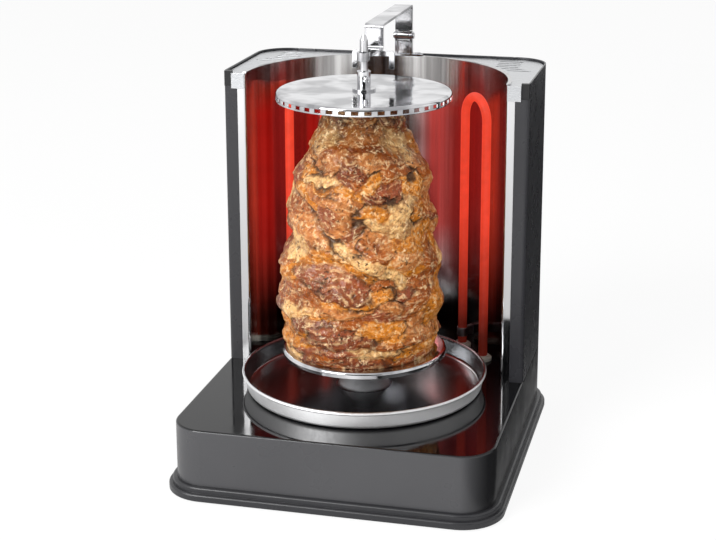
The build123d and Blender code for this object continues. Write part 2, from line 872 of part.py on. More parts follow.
with BuildPart() as skewer_pin:
    with BuildSketch(Plane((0, spit_y, slot_floor + cross_pin / 2 + 0.1), x_dir=(0, 1, 0), z_dir=(1, 0, 0))):
        Circle(cross_pin / 2)
    extrude(amount=hub_radius - 1.0, both=True)
save(skewer_pin, "skewer_pin")

tip_long = 5.0
with BuildPart() as skewer:
    with BuildSketch(axis_plane.offset(rod_low)):
        Circle(rod_radius)
    extrude(amount=rod_top - tip_long - rod_low)
    with BuildSketch(axis_plane.offset(rod_top - tip_long)):
        Circle(rod_radius)
    with BuildSketch(axis_plane.offset(rod_top)):
        Circle(1.6)
    loft()
save(skewer, "skewer")

with BuildPart() as lower_disc:
    with BuildSketch(Plane.XZ):
        with BuildLine():
            top = lower_disc_top
            rim = lower_disc_radius
            FilletPolyline(
                (rod_radius + snug, top),
                (rim, top),
                (rim, top - lower_disc_rim),
                radius=disc_bend,
            )
            Polyline((rim, top - lower_disc_rim), (rim - disc_sheet, top - lower_disc_rim))
            FilletPolyline(
                (rim - disc_sheet, top - lower_disc_rim),
                (rim - disc_sheet, top - disc_sheet),
                (rod_radius + snug, top - disc_sheet),
                radius=disc_bend - disc_sheet,
            )
            Line((rod_radius + snug, top - disc_sheet), (rod_radius + snug, top))
        make_face()
    revolve(axis=Axis.Z)
lower_disc.part = Pos(0, spit_y, 0) * lower_disc.part
save(lower_disc, "lower_disc")

# The stack of sliced meat: level up the stack, then its reach to the left and to the right.
meat_low = lower_disc_top
meat_high = press_disc_under - seat_gap
meat_outline = [
    (0.00, 75, 66),
    (0.06, 80, 72),
    (0.22, 81, 73),
    (0.33, 79, 72),
    (0.45, 71, 70),
    (0.57, 71, 65),
    (0.66, 68, 63),
    (0.75, 58, 57),
    (0.81, 55, 46),
    (0.87, 42, 36),
    (1.00, 35, 34),
]
meat_levels = 31
meat_points = 18
fold_depth = 2.6
fold_count = 6.0
lobe_depth = 1.5


def meat_side(level, column):
    """Reach of the stack at a level, between the listed ones."""
    for low, high in zip(meat_outline, meat_outline[1:]):
        if level <= high[0]:
            share = (level - low[0]) / (high[0] - low[0])
            return low[column] + share * (high[column] - low[column])
    return meat_outline[-1][column]


def meat_reach(level, turn):
    """Reach of the stack at an angle: slices that fold round it, higher on one side, and wide lobes."""
    left, right = meat_side(level, 1), meat_side(level, 2)
    fade = min(1.0, 12 * level, 12 * (1 - level))
    folds = fold_depth * sin(2 * pi * fold_count * level + 2 * turn + 0.5 * sin(3 * turn))
    lobes = lobe_depth * (sin(3 * turn + 9 * level) + 0.7 * sin(5 * turn - 14 * level))
    return (left + right) / 2 + (right - left) / 2 * cos(turn) + fade * (folds + lobes)


with BuildPart() as meat_stack:
    for step in range(meat_levels):
        level = step / (meat_levels - 1)
        with BuildSketch(axis_plane.offset(meat_low + level * (meat_high - meat_low))):
            with BuildLine():
                turns = [2 * pi * point / meat_points for point in range(meat_points)]
                reaches = [meat_reach(level, turn) for turn in turns]
                Spline(
                    *[(reach * cos(turn), reach * sin(turn)) for reach, turn in zip(reaches, turns)],
                    periodic=True,
                )
            make_face()
    loft()
    with BuildSketch(axis_plane.offset(meat_low)):
        Circle(rod_radius + snug)
    extrude(amount=meat_high - meat_low, mode=Mode.SUBTRACT)
save(meat_stack, "meat_stack")


# ---------------------------------------------------------------- press disc
press_bore = rod_radius + running
with BuildPart() as press_disc:
    with BuildSketch(Plane.XZ):
        with BuildLine():
            top = press_plate_top
            rim = press_disc_radius
            FilletPolyline(
                (press_bore, top), (rim, top), (rim, top - press_disc_rim), radius=disc_bend
            )
            Line((rim, top - press_disc_rim), (rim - disc_sheet, top - press_disc_rim))
            FilletPolyline(
                (rim - disc_sheet, top - press_disc_rim),
                (rim - disc_sheet, top - disc_sheet),
                (press_bore, top - disc_sheet),
                radius=disc_bend - disc_sheet,
            )
            Line((press_bore, top - disc_sheet), (press_bore, top))
        make_face()
    revolve(axis=Axis.Z)
    # Row of slots round the turned-down rim
    slot_wide = 2 * pi * press_disc_radius / rim_slots * rim_slot_share
    with PolarLocations(press_disc_radius - disc_sheet / 2, rim_slots):
        with Locations((0, 0, press_plate_top - press_disc_rim + rim_slot_height / 2 + rim_slot_land)):
            Box(3 * disc_sheet, slot_wide, rim_slot_height, mode=Mode.SUBTRACT)
press_disc.part = Pos(0, spit_y, 0) * press_disc.part
save(press_disc, "press_disc")

clamp_dir = (sin(radians(clamp_angle)), -cos(radians(clamp_angle)), 0)
clamp_plane = Plane(
    (0, spit_y, clamp_z), x_dir=(cos(radians(clamp_angle)), sin(radians(clamp_angle)), 0), z_dir=clamp_dir
)
with BuildPart() as press_collar:
    with BuildSketch(axis_plane.offset(press_plate_top)):
        Circle(collar_flange)
    extrude(amount=collar_flange_thick)
    with BuildSketch(axis_plane.offset(press_plate_top)):
        Circle(collar_diameter / 2)
    extrude(amount=collar_height)
    chamfer(press_collar.faces().sort_by(Axis.Z)[-1].edges(), length=0.8)
    with BuildSketch(axis_plane.offset(press_plate_top)):
        Circle(press_bore)
    extrude(amount=collar_height, mode=Mode.SUBTRACT)
    with BuildSketch(clamp_plane):
        Circle(clamp_shank / 2 + running)
    extrude(amount=collar_diameter, mode=Mode.SUBTRACT)
save(press_collar, "press_collar")

with BuildPart() as clamp_screw:
    with BuildSketch(clamp_plane.offset(press_bore + 0.3)):
        Circle(clamp_shank / 2)
    extrude(amount=collar_diameter / 2 - press_bore + 0.6)
    with BuildSketch(clamp_plane.offset(collar_diameter / 2 + 0.3)):
        Circle(clamp_head / 2)
    extrude(amount=clamp_head_long)
    chamfer(clamp_screw.faces().sort_by(Axis(clamp_plane.origin, clamp_dir))[-1].edges(), length=0.4)
    with BuildSketch(clamp_plane.offset(collar_diameter / 2 + 0.3 + clamp_head_long)):
        Rectangle(1.0, clamp_head + 1)
    extrude(amount=-1.2, mode=Mode.SUBTRACT)
save(clamp_screw, "clamp_screw")


# ---------------------------------------------------------------- holder arm
tongue_low = eye_low + (eye_height - strap_thick) / 2
eye_x = rod_radius + running + eye_wall
with BuildPart() as holder_arm:
    mid = strap_thick / 2
    path = [
        (spit_y + eye_x - 0.5, tongue_low + mid),
        (arm_front_y, tongue_low + mid),
        (arm_front_y, arm_top - mid),
        (arm_hinge_y, arm_top - mid),
        (arm_hinge_y, arm_hinge_z),
    ]
    with BuildSketch(Plane.YZ.offset(-strap_width / 2)):
        with BuildLine() as outline:
            FilletPolyline(*path, radius=strap_bend)
        trace(outline.line, line_width=strap_thick)
    extrude(amount=strap_width)
    # The tongue is narrower than the strap
    tongue_half = eye_x + 1.2
    with BuildSketch(Plane.XY.offset(tongue_low - 1)):
        with Locations(((tongue_half + strap_width) / 2, spit_y), (-(tongue_half + strap_width) / 2, spit_y)):
            Rectangle(strap_width - tongue_half, 2 * (arm_front_y - strap_bend - mid - spit_y))
    extrude(amount=strap_thick + 2, mode=Mode.SUBTRACT)
    # The hinge end is narrower, to turn between the bracket's ears
    with BuildSketch(Plane.XZ.offset(-(arm_hinge_y - strap_thick))):
        for side in (-1, 1):
            with Locations((side * (knuckle_half + strap_width / 2), arm_hinge_z)):
                Rectangle(strap_width, 2 * (ear_radius + 2 * ear_gap))
    extrude(amount=-2 * strap_thick, mode=Mode.SUBTRACT)
    # Knuckle round the hinge pin
    with BuildSketch(Plane.YZ.offset(-knuckle_half)):
        with Locations((arm_hinge_y, arm_hinge_z)):
            Circle(hinge_pin / 2 + knuckle_wall)
    extrude(amount=2 * knuckle_half)
    with BuildSketch(Plane.YZ.offset(-strap_width / 2)):
        with Locations((arm_hinge_y, arm_hinge_z)):
            Circle(hinge_pin / 2 + running)
    extrude(amount=strap_width, mode=Mode.SUBTRACT)
    # Round seat for the eye at the front end
    with BuildSketch(axis_plane.offset(tongue_low - 1)):
        Circle(eye_x + snug)
    extrude(amount=strap_thick + 2, mode=Mode.SUBTRACT)
save(holder_arm, "holder_arm")

with BuildPart() as arm_eye:
    # Oval sleeve: round behind the skewer's tip, longer in front so that it lifts off
    with BuildSketch(axis_plane.offset(eye_low)):
        with BuildLine():
            front_y = -eye_front_room
            ThreePointArc((eye_x, 0), (0, eye_x), (-eye_x, 0))
            Line((-eye_x, 0), (-eye_x, front_y))
            ThreePointArc((-eye_x, front_y), (0, front_y - eye_x), (eye_x, front_y))
            Line((eye_x, front_y), (eye_x, 0))
        make_face()
        with BuildLine():
            inner = rod_radius + running
            ThreePointArc((inner, 0), (0, inner), (-inner, 0))
            Line((-inner, 0), (-inner, front_y))
            ThreePointArc((-inner, front_y), (0, front_y - inner), (inner, front_y))
            Line((inner, front_y), (inner, 0))
        make_face(mode=Mode.SUBTRACT)
    extrude(amount=eye_height)
save(arm_eye, "arm_eye")

with BuildPart() as arm_yoke:
    # Finger grip: an inverted U under the front bend of the arm
    yoke_back = arm_front_y + strap_thick / 2 - strap_bend
    yoke_top = tongue_low
    with BuildSketch(Plane.XZ.offset(-(yoke_back - yoke_thick))):
        with Locations((0, yoke_top - yoke_bar / 2)):
            Rectangle(yoke_width, yoke_bar)
        with GridLocations(yoke_width - yoke_bar, 0, 2, 1):
            with Locations((0, yoke_top - yoke_height / 2)):
                Rectangle(yoke_bar, yoke_height)
    extrude(amount=-yoke_thick)
    fillet(arm_yoke.edges().filter_by(Axis.Y).group_by(Axis.Z)[-1], radius=2.0)
save(arm_yoke, "arm_yoke")

bracket_screw = 1.7
bracket_screw_points = [(side * (ear_out + bracket_foot / 2), arm_hinge_y) for side in (-1, 1)]
with BuildPart() as arm_bracket:
    # Two ears on a foot that lies on the top plates
    foot_front = reflector_y + reflector_out + 0.2
    foot_back = half_depth - plate_inset
    with BuildSketch(Plane.XY.offset(plate_top)):
        with Locations((0, (foot_front + foot_back) / 2)):
            Rectangle(2 * bracket_half, foot_back - foot_front)
        with Locations(*bracket_screw_points):
            Circle(bracket_screw, mode=Mode.SUBTRACT)
    extrude(amount=bracket_thick)
    ear_long = 2 * (arm_hinge_y - foot_front)
    for low_x in (-ear_out, ear_in):
        with BuildSketch(Plane.YZ.offset(low_x)):
            with Locations((arm_hinge_y, (plate_top + arm_hinge_z) / 2)):
                Rectangle(ear_long, arm_hinge_z - plate_top)
            with Locations((arm_hinge_y, arm_hinge_z)):
                Circle(ear_radius)
                Circle(hinge_pin / 2 + snug, mode=Mode.SUBTRACT)
        extrude(amount=ear_thick)
    # Back web between the ears, below the knuckle
    web_top = arm_hinge_z - hinge_pin / 2 - knuckle_wall - 2 * ear_gap
    with BuildSketch(Plane.XZ.offset(-(arm_hinge_y + ear_long / 2))):
        with Locations((0, (plate_top + web_top) / 2)):
            Rectangle(2 * ear_out, web_top - plate_top)
    extrude(amount=bracket_thick)
save(arm_bracket, "arm_bracket")

with BuildPart() as arm_pin:
    with BuildSketch(Plane.YZ.offset(-ear_out - 1.0)):
        with Locations((arm_hinge_y, arm_hinge_z)):
            Circle(hinge_pin / 2)
    extrude(amount=2 * ear_out + 2.0)
    for low_x in (-ear_out - 1.6, ear_out):
        with BuildSketch(Plane.YZ.offset(low_x)):
            with Locations((arm_hinge_y, arm_hinge_z)):
                Circle(hinge_pin / 2 + 1.2)
        extrude(amount=1.6)
save(arm_pin, "arm_pin")

with BuildPart() as bracket_screws:
    with BuildSketch(Plane.XY.offset(plate_top + bracket_thick)):
        with Locations(*bracket_screw_points):
            Circle(bracket_screw + 1.3)
    extrude(amount=1.6)
    with BuildSketch(Plane.XY.offset(plate_top)):
        with Locations(*bracket_screw_points):
            Circle(bracket_screw - snug)
    extrude(amount=bracket_thick)
save(bracket_screws, "bracket_screws")


# ---------------------------------------------------------------- switch and wiring
pocket_long = rocker_long + 1.9
pocket_wide = switch_body_wide - 2.6
pocket_deep = 7.0
with BuildPart() as power_switch:
    with BuildSketch(Plane.YZ.offset(-half_width - bezel_thick)):
        with Locations((switch_y, switch_z)):
            RectangleRounded(switch_long, switch_wide, 1.5)
    extrude(amount=bezel_thick)
    with BuildSketch(Plane.YZ.offset(-half_width)):
        with Locations((switch_y, switch_z)):
            Rectangle(switch_body_long - 0.2, switch_body_wide - 0.2)
    extrude(amount=16.0)
    with BuildSketch(Plane.YZ.offset(-half_width - bezel_thick)):
        with Locations((switch_y, switch_z)):
            Rectangle(pocket_long, pocket_wide)
    extrude(amount=pocket_deep, mode=Mode.SUBTRACT)
    # Tab terminals at the back
    with BuildSketch(Plane.YZ.offset(-half_width + 16.0)):
        with Locations((switch_y - 5, switch_z), (switch_y + 5, switch_z)):
            Rectangle(0.8, 6.3)
    extrude(amount=8.0)
save(power_switch, "power_switch")

rocker_x = -half_width + 1.0
rocker_out = 3.2
rocker_in = 3.0
with BuildPart() as power_rocker:
    paddle = Plane((rocker_x, switch_y, switch_z), x_dir=(0, 1, 0), z_dir=(0, 0, 1)).rotated(
        (0, 0, -rocker_tilt)
    )
    half = rocker_long / 2
    with BuildSketch(paddle.offset(-pocket_wide / 2 + 0.25)):
        with BuildLine():
            Polyline((-half, -rocker_in), (-half, rocker_out), (0, rocker_out - 1.4))
            Polyline((0, rocker_out - 1.4), (half, rocker_out), (half, -rocker_in), (-half, -rocker_in))
        make_face()
    extrude(amount=pocket_wide - 0.5)
save(power_rocker, "power_rocker")

with BuildPart() as cable_gland:
    gland_r = gland_diameter / 2
    gland_back = Plane.XZ.offset(-half_depth)
    with BuildSketch(gland_back):
        with Locations((gland_x, gland_z)):
            Circle(gland_r)
    extrude(amount=-gland_out, taper=12)
    with BuildSketch(gland_back):
        with Locations((gland_x, gland_z)):
            Circle(gland_r - 2.0 - snug)
    extrude(amount=10.0)
    with BuildSketch(Plane.XZ.offset(-(half_depth - sheet))):
        with Locations((gland_x, gland_z)):
            RegularPolygon(gland_r, 6, major_radius=False)
    extrude(amount=5.0)
    with BuildSketch(Plane.XZ.offset(-(half_depth + gland_out))):
        with Locations((gland_x, gland_z)):
            Circle(gland_bore / 2)
    extrude(amount=gland_out + 10.0, mode=Mode.SUBTRACT)
save(cable_gland, "cable_gland")

block_x = -40.0
block_inset = 52.5
block_y = half_depth - block_inset
block_long = 34.0
block_deep = 18.0
block_high = 15.0
well_pitch_x = 11.0
well_pitch_y = 9.0
with BuildPart() as terminal_block:
    with BuildSketch(Plane.XY.offset(pan_top_of_floor)):
        with Locations((block_x, block_y)):
            Rectangle(block_long, block_deep)
    extrude(amount=block_high)
    with BuildSketch(Plane.XY.offset(pan_top_of_floor + block_high)):
        with Locations((block_x, block_y)):
            with GridLocations(well_pitch_x, well_pitch_y, 3, 2):
                Circle(2.0)
    extrude(amount=-6.0, mode=Mode.SUBTRACT)
    with BuildSketch(Plane.XY.offset(pan_top_of_floor + block_high)):
        with Locations((block_x, block_y)):
            with GridLocations(well_pitch_x, 0, 2, 1):
                Rectangle(1.4, block_deep)
    extrude(amount=-4.0, mode=Mode.SUBTRACT)
save(terminal_block, "terminal_block")

cutout_z = 210.0
cutout_radius = 7.5
with BuildPart() as thermal_cutout:
    cutout_front = reflector_y + reflector_out + 0.1
    with BuildSketch(Plane.XZ.offset(-(half_depth - sheet - 0.2))):
        with Locations((0, cutout_z)):
            Circle(cutout_radius)
    extrude(amount=half_depth - sheet - 0.2 - cutout_front)
save(thermal_cutout, "thermal_cutout")


def wire(points, size=2.6):
    """An insulated wire of straight runs joined by tangent arcs."""
    start = Plane(points[0], z_dir=Vector(*points[1]) - Vector(*points[0]))
    with BuildPart() as strand:
        with BuildLine():
            FilletPolyline(*points, radius=8.0)
        with BuildSketch(start):
            Circle(size / 2)
        sweep()
    return strand.part


near, far = legs
tab_x = -half_width + 24.0
stud_low = leg_low - stud_long
block_z = pan_top_of_floor + block_high * 0.6
block_front = block_y - block_deep / 2
block_left, block_right = block_x - block_long / 2, block_x + block_long / 2
coil_z = coil_low + coil_case_height / 2
wires = [
    wire([
        (tab_x, switch_y - 5, switch_z),
        (tab_x + 22, switch_y - 5, switch_z),
        (tab_x + 34, 20, 34),
        (block_x - well_pitch_x, block_front - 24, block_z),
        (block_x - well_pitch_x, block_front, block_z),
    ]),
    wire([
        (-near[0], near[1], stud_low),
        (-near[0], near[1], stud_low - 16),
        (block_left - 20, block_y, block_z),
        (block_left, block_y, block_z),
    ]),
    wire([
        (far[0], far[1], stud_low),
        (far[0], far[1], stud_low - 16),
        (block_right + 22, block_y, block_z),
        (block_right, block_y, block_z),
    ]),
    wire([
        (0, motor_y + motor_diameter / 2 - 1.0, coil_z),
        (0, motor_y + motor_diameter / 2 + 24, coil_z),
        (block_x + 5, block_front - 24, block_z),
        (block_x + 5, block_front, block_z),
    ]),
]
with BuildPart() as wiring:
    for strand in wires:
        add(strand)
save(wiring, "wiring")
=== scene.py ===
import json
from itertools import product
from math import cos, pi, radians, sin
from random import Random

import bpy
import numpy as np
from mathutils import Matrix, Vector


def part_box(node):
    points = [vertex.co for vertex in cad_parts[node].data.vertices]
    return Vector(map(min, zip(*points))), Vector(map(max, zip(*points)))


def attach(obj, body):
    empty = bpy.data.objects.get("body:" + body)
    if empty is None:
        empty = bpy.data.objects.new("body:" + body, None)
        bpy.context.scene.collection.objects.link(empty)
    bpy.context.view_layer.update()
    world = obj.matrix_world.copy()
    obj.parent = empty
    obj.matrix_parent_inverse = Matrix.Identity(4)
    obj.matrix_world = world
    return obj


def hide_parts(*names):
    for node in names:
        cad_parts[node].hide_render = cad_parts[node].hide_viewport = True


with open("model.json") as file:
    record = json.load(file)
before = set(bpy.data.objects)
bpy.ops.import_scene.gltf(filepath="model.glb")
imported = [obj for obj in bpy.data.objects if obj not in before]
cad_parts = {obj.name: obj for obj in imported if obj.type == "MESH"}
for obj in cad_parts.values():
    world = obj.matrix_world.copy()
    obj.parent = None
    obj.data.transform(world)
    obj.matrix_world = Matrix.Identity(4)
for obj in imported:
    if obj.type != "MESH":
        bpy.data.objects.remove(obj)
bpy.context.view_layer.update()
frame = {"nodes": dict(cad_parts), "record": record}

nodes = frame["nodes"]
scene = bpy.context.scene
MM = 0.001


# ---------------------------------------------------------------- camera
# Placed and turned so that the picture shows the grill as the photograph does.
PHOTO_WIDTH = 716.0
SENSOR_WIDTH = 36.0
FOCAL_PIXELS = 1614.9
CAMERA_PLACE = (0.3557, -1.4476, 0.6550)
CAMERA_PITCH = 0.2554
CAMERA_YAW = 0.2365
LENS_SHIFT = (-0.0235, -0.1202)


def make_camera():
    data = bpy.data.cameras.new("camera")
    data.sensor_width = SENSOR_WIDTH
    data.lens = FOCAL_PIXELS * SENSOR_WIDTH / PHOTO_WIDTH
    data.shift_x, data.shift_y = LENS_SHIFT
    camera = bpy.data.objects.new("camera", data)
    camera.location = CAMERA_PLACE
    camera.rotation_euler = (pi / 2 - CAMERA_PITCH, 0.0, CAMERA_YAW)
    scene.collection.objects.link(camera)
    scene.camera = camera


# ---------------------------------------------------------------- shader kit
EDGE_ROUND = 0.0004                 # the radius by which hard edges look rounded, in metres
BEVEL_SAMPLES = 6
NOISE_LOW, NOISE_HIGH = 0.3, 0.7    # most of a noise's values lie between these
BLACK = (0.0, 0.0, 0.0, 1.0)


def add_node(tree, kind, inputs=(), **settings):
    """A new node; inputs maps socket names or numbers to a value or to another node's output."""
    node = tree.nodes.new(kind)
    for key, value in settings.items():
        setattr(node, key, value)
    for key, value in dict(inputs).items():
        if isinstance(value, bpy.types.NodeSocket):
            tree.links.new(value, node.inputs[key])
        else:
            node.inputs[key].default_value = value
    return node


class Shader:
    """A node material built around one Principled surface."""

    def __init__(self, name, edge=EDGE_ROUND, **surface):
        self.edge = edge
        self.material = bpy.data.materials.new(name)
        self.material.use_nodes = True
        self.tree = self.material.node_tree
        self.surface = self.tree.nodes["Principled BSDF"]
        for socket, value in surface.items():
            self.surface.inputs[socket.replace("_", " ")].default_value = value

    def add(self, kind, inputs=(), **settings):
        return add_node(self.tree, kind, inputs, **settings)

    def feed(self, socket, source):
        self.tree.links.new(source, self.surface.inputs[socket])

    def place(self, stretch=(1.0, 1.0, 1.0)):
        """The point on the object, in metres, stretched along each axis."""
        where = self.add("ShaderNodeTexCoord").outputs["Object"]
        return self.add("ShaderNodeMapping", {"Vector": where, "Scale": stretch}).outputs["Vector"]

    def along(self, axis):
        """How far the point on the object lies along one of its axes, in metres."""
        return self.add("ShaderNodeSeparateXYZ", {0: self.place()}).outputs[axis]

    def noise(self, grain, detail=3.0, roughness=0.55, stretch=(1.0, 1.0, 1.0), distortion=0.0):
        """Noise whose features are about grain metres across."""
        inputs = {
            "Vector": self.place(stretch), "Scale": 1.0 / grain, "Detail": detail,
            "Roughness": roughness, "Distortion": distortion,
        }
        return self.add("ShaderNodeTexNoise", inputs).outputs["Fac"]

    def cells(self, grain):
        """Rounded cells about grain metres across."""
        inputs = {"Vector": self.place(), "Scale": 1.0 / grain}
        return self.add("ShaderNodeTexVoronoi", inputs).outputs["Distance"]

    def span(self, source, low, high, out_low=0.0, out_high=1.0):
        """The source from low to high, read as out_low to out_high."""
        inputs = {0: source, 1: low, 2: high, 3: out_low, 4: out_high}
        return self.add("ShaderNodeMapRange", inputs, clamp=True).outputs[0]

    def spread(self, source, low, high):
        """A noise's usual values, read as low to high."""
        return self.span(source, NOISE_LOW, NOISE_HIGH, low, high)

    def math(self, operation, first, second=0.0):
        return self.add("ShaderNodeMath", {0: first, 1: second}, operation=operation).outputs[0]

    def vector(self, operation, first, second=(0.0, 0.0, 0.0)):
        return self.add("ShaderNodeVectorMath", {0: first, 1: second}, operation=operation).outputs[0]

    def facing(self, direction):
        """How far the surface faces a direction of the object, from 1 to -1."""
        normal = self.add("ShaderNodeTexCoord").outputs["Normal"]
        inputs = {0: normal, 1: direction}
        return self.add("ShaderNodeVectorMath", inputs, operation="DOT_PRODUCT").outputs["Value"]

    def mix(self, share, first, second):
        inputs = {0: share, 6: first, 7: second}
        return self.add("ShaderNodeMix", inputs, data_type="RGBA").outputs[2]

    def bump(self, height, depth, under=None):
        """Bump whose height of 1 stands depth metres proud, on another bump or on the rounded edges."""
        if under is None:
            bevel = self.add("ShaderNodeBevel", {"Radius": self.edge}, samples=BEVEL_SAMPLES)
            under = bevel.outputs["Normal"]
        inputs = {"Height": height, "Distance": depth, "Normal": under}
        return self.add("ShaderNodeBump", inputs).outputs["Normal"]

    def vary_roughness(self, source, low, high):
        self.feed("Roughness", self.spread(source, low, high))


def colour(red, green, blue):
    """A colour written as it looks on the screen, 0 to 255, turned to scene values."""
    def linear(value):
        value /= 255.0
        return value / 12.92 if value <= 0.04045 else ((value + 0.055) / 1.055) ** 2.4

    return (linear(red), linear(green), linear(blue), 1.0)


# ---------------------------------------------------------------- materials
def pan_plastic():
    """Moulded satin plastic with a faint grain."""
    shader = Shader("pan_plastic", Specular_IOR_Level=0.40)
    cloud = shader.noise(0.05)
    shader.feed("Base Color", shader.mix(cloud, colour(34, 34, 36), colour(44, 44, 47)))
    shader.vary_roughness(shader.noise(0.02), 0.26, 0.40)
    shader.feed("Normal", shader.bump(shader.noise(0.0011, detail=2.0), 0.00004))
    return shader.material


def foot_rubber():
    """Matt black rubber."""
    shader = Shader("foot_rubber")
    shader.feed("Base Color", shader.mix(shader.noise(0.008), colour(24, 24, 24), colour(38, 37, 36)))
    shader.vary_roughness(shader.noise(0.004), 0.75, 0.95)
    shader.feed("Normal", shader.bump(shader.noise(0.0007), 0.00006))
    return shader.material


# Painted shade: the top's near-black and the side walls' darker charcoal; painted light: the front's lighter
# charcoal. All are one enamel.
ENAMEL_TOP = (0.0016, 0.0002)   # metres below the housing's top: where the black begins, where it is full
SIDE_SHADE_FACING = (0.15, 0.85)      # facing sideways: where the painted side shade begins, where it is full
TOP_POLISH = 0.24               # how much smoother the top is than the walls


def base_enamel():
    """Stove enamel, mirror-smooth on top and satin on the walls, in painted lit and shaded copies of one
    colour: painted light makes the front charcoal, painted shade makes the side walls darker and the top
    near-black.
    """
    shader = Shader("base_enamel", edge=2 * EDGE_ROUND)
    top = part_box("base_housing")[1].z
    on_top = shader.span(shader.along("Z"), *[top - below for below in ENAMEL_TOP])
    cloud = shader.noise(0.09)
    # Painted light and shade: the front is painted lighter, the side walls darker and the top darkest.
    front = shader.mix(cloud, colour(60, 60, 62), colour(70, 70, 72))
    shaded_sides = shader.mix(cloud, colour(20, 20, 21), colour(28, 28, 30))
    black = shader.mix(cloud, colour(6, 6, 8), colour(11, 11, 13))
    walls = shader.mix(shader.span(shader.facing((1, 0, 0)), *SIDE_SHADE_FACING), front, shaded_sides)
    shader.feed("Base Color", shader.mix(on_top, walls, black))
    satin = shader.spread(shader.noise(0.03), 0.26, 0.36)
    shader.feed("Roughness", shader.math("SUBTRACT", satin, shader.math("MULTIPLY", on_top, TOP_POLISH)))
    shader.feed("Specular IOR Level", shader.span(on_top, 0.0, 1.0, 0.38, 0.30))
    shader.feed("Normal", shader.bump(shader.noise(0.0035, detail=1.0), 0.000006))
    return shader.material


def side_enamel():
    """Charcoal satin enamel with a fine leathery grain."""
    shader = Shader("side_enamel", Specular_IOR_Level=0.40)
    shader.feed("Base Color", shader.mix(shader.noise(0.07), colour(38, 38, 41), colour(46, 46, 49)))
    shader.vary_roughness(shader.noise(0.025), 0.24, 0.34)
    shader.feed("Normal", shader.bump(shader.noise(0.0014, detail=2.0), 0.00004))
    return shader.material


def black_plastic():
    """Black satin moulding plastic."""
    shader = Shader("black_plastic", Specular_IOR_Level=0.4)
    shader.feed("Base Color", shader.mix(shader.noise(0.01), colour(14, 14, 15), colour(26, 26, 27)))
    shader.vary_roughness(shader.noise(0.006), 0.28, 0.44)
    shader.feed("Normal", shader.bump(shader.noise(0.0006), 0.00003))
    return shader.material


def zinc_steel():
    """Zinc plated steel: soft grey blooms with a fine grain."""
    shader = Shader("zinc_steel", Metallic=1.0)
    bloom = shader.cells(0.006)
    shader.feed("Base Color", shader.mix(bloom, colour(168, 170, 176), colour(206, 207, 210)))
    shader.vary_roughness(shader.noise(0.004), 0.30, 0.50)
    shader.feed("Normal", shader.bump(shader.noise(0.0009), 0.00003))
    return shader.material


# The mirror's zones, in metres across it or above the floor: where each begins, where it is full. All but
# the first carry painted glow, reflection or shade.
MIRROR_INSIDE = (0.1268, 0.1250)
GLOW_LEFT = (-0.020, -0.050)
GLOW_RIGHT = (0.008, 0.032)
GLOW_RIGHT_END = (0.102, 0.090)
GLOW_FOOT = (0.115, 0.190)
GLOW_TOP = (0.340, 0.315)
PAINTED_PALE_RIGHT = (0.096, 0.106)
PAINTED_DARK_FOOT = (0.170, 0.100)
# Painted glow: the red light the sheet itself gives off beside the heaters.
GLOW_LIGHT = (0.13, 0.008, 0.007, 1.0)


def mirror_steel():
    """Polished sheet with upright rolling marks and painted reflection bands; part of the heaters' red glow
    in it is painted into its colour and emission at fixed places.
    """
    shader = Shader("mirror_steel", Metallic=1.0, Anisotropic=0.9)
    across, height = shader.along("X"), shader.along("Z")
    inside = shader.span(shader.math("ABSOLUTE", across), *MIRROR_INSIDE)
    streaks = shader.noise(0.004, detail=4.0, stretch=(1.0, 1.0, 0.03))
    reflection_bands = shader.noise(0.020, detail=3.0, stretch=(1.0, 1.0, 0.02))
    left = shader.math("MULTIPLY", shader.span(across, *GLOW_LEFT), inside)
    right = shader.math("MULTIPLY", shader.span(across, *GLOW_RIGHT), shader.span(across, *GLOW_RIGHT_END))
    hot = shader.math("MULTIPLY", shader.span(height, *GLOW_FOOT), shader.span(height, *GLOW_TOP))
    glow = shader.math("MULTIPLY", shader.math("MAXIMUM", left, right), hot)
    # Painted reflection: upright bands from dark to pale grey in the colour.
    tint = shader.mix(shader.span(reflection_bands, 0.40, 0.60), colour(66, 64, 64), colour(206, 205, 204))
    tint = shader.mix(shader.math("MULTIPLY", streaks, 0.8), tint, colour(150, 148, 147))
    # Painted reflection: a pale band near the right edge.
    tint = shader.mix(shader.span(across, *PAINTED_PALE_RIGHT, 0.0, 0.8), tint, colour(200, 196, 194))
    # Painted reflection of the heaters' red glow, at fixed places.
    tint = shader.mix(shader.math("MULTIPLY", glow, 0.88), tint, colour(146, 36, 30))
    # Painted dark reflection low on the sheet.
    tint = shader.mix(shader.span(height, *PAINTED_DARK_FOOT, 0.0, 0.8), tint, colour(22, 22, 23))
    shader.feed("Base Color", shader.mix(inside, colour(190, 190, 191), tint))
    shader.feed("Roughness", shader.spread(streaks, 0.08, 0.18))
    upright = shader.add("ShaderNodeTangent", direction_type="RADIAL", axis="Z")
    shader.feed("Tangent", upright.outputs["Tangent"])
    # Painted glow: the sheet's own red emission at those places, streaked upright.
    streaked = shader.math("MULTIPLY", glow, shader.span(reflection_bands, 0.34, 0.62, 0.30, 1.0))
    shader.feed("Emission Color", shader.mix(streaked, BLACK, GLOW_LIGHT))
    shader.surface.inputs["Emission Strength"].default_value = 1.0
    waves = shader.bump(shader.noise(0.05, detail=1.0, stretch=(1.0, 1.0, 0.12)), 0.0009)
    shader.feed("Normal", shader.bump(streaks, 0.00003, under=waves))
    return shader.material


def plate_steel():
    """Light steel brushed from side to side."""
    shader = Shader("plate_steel", Metallic=1.0)
    lines = shader.noise(0.0016, detail=4.0, stretch=(0.06, 1.0, 1.0))
    shader.feed("Base Color", shader.mix(lines, colour(176, 178, 181), colour(214, 215, 217)))
    shader.vary_roughness(lines, 0.20, 0.34)
    shader.feed("Normal", shader.bump(lines, 0.00003))
    return shader.material


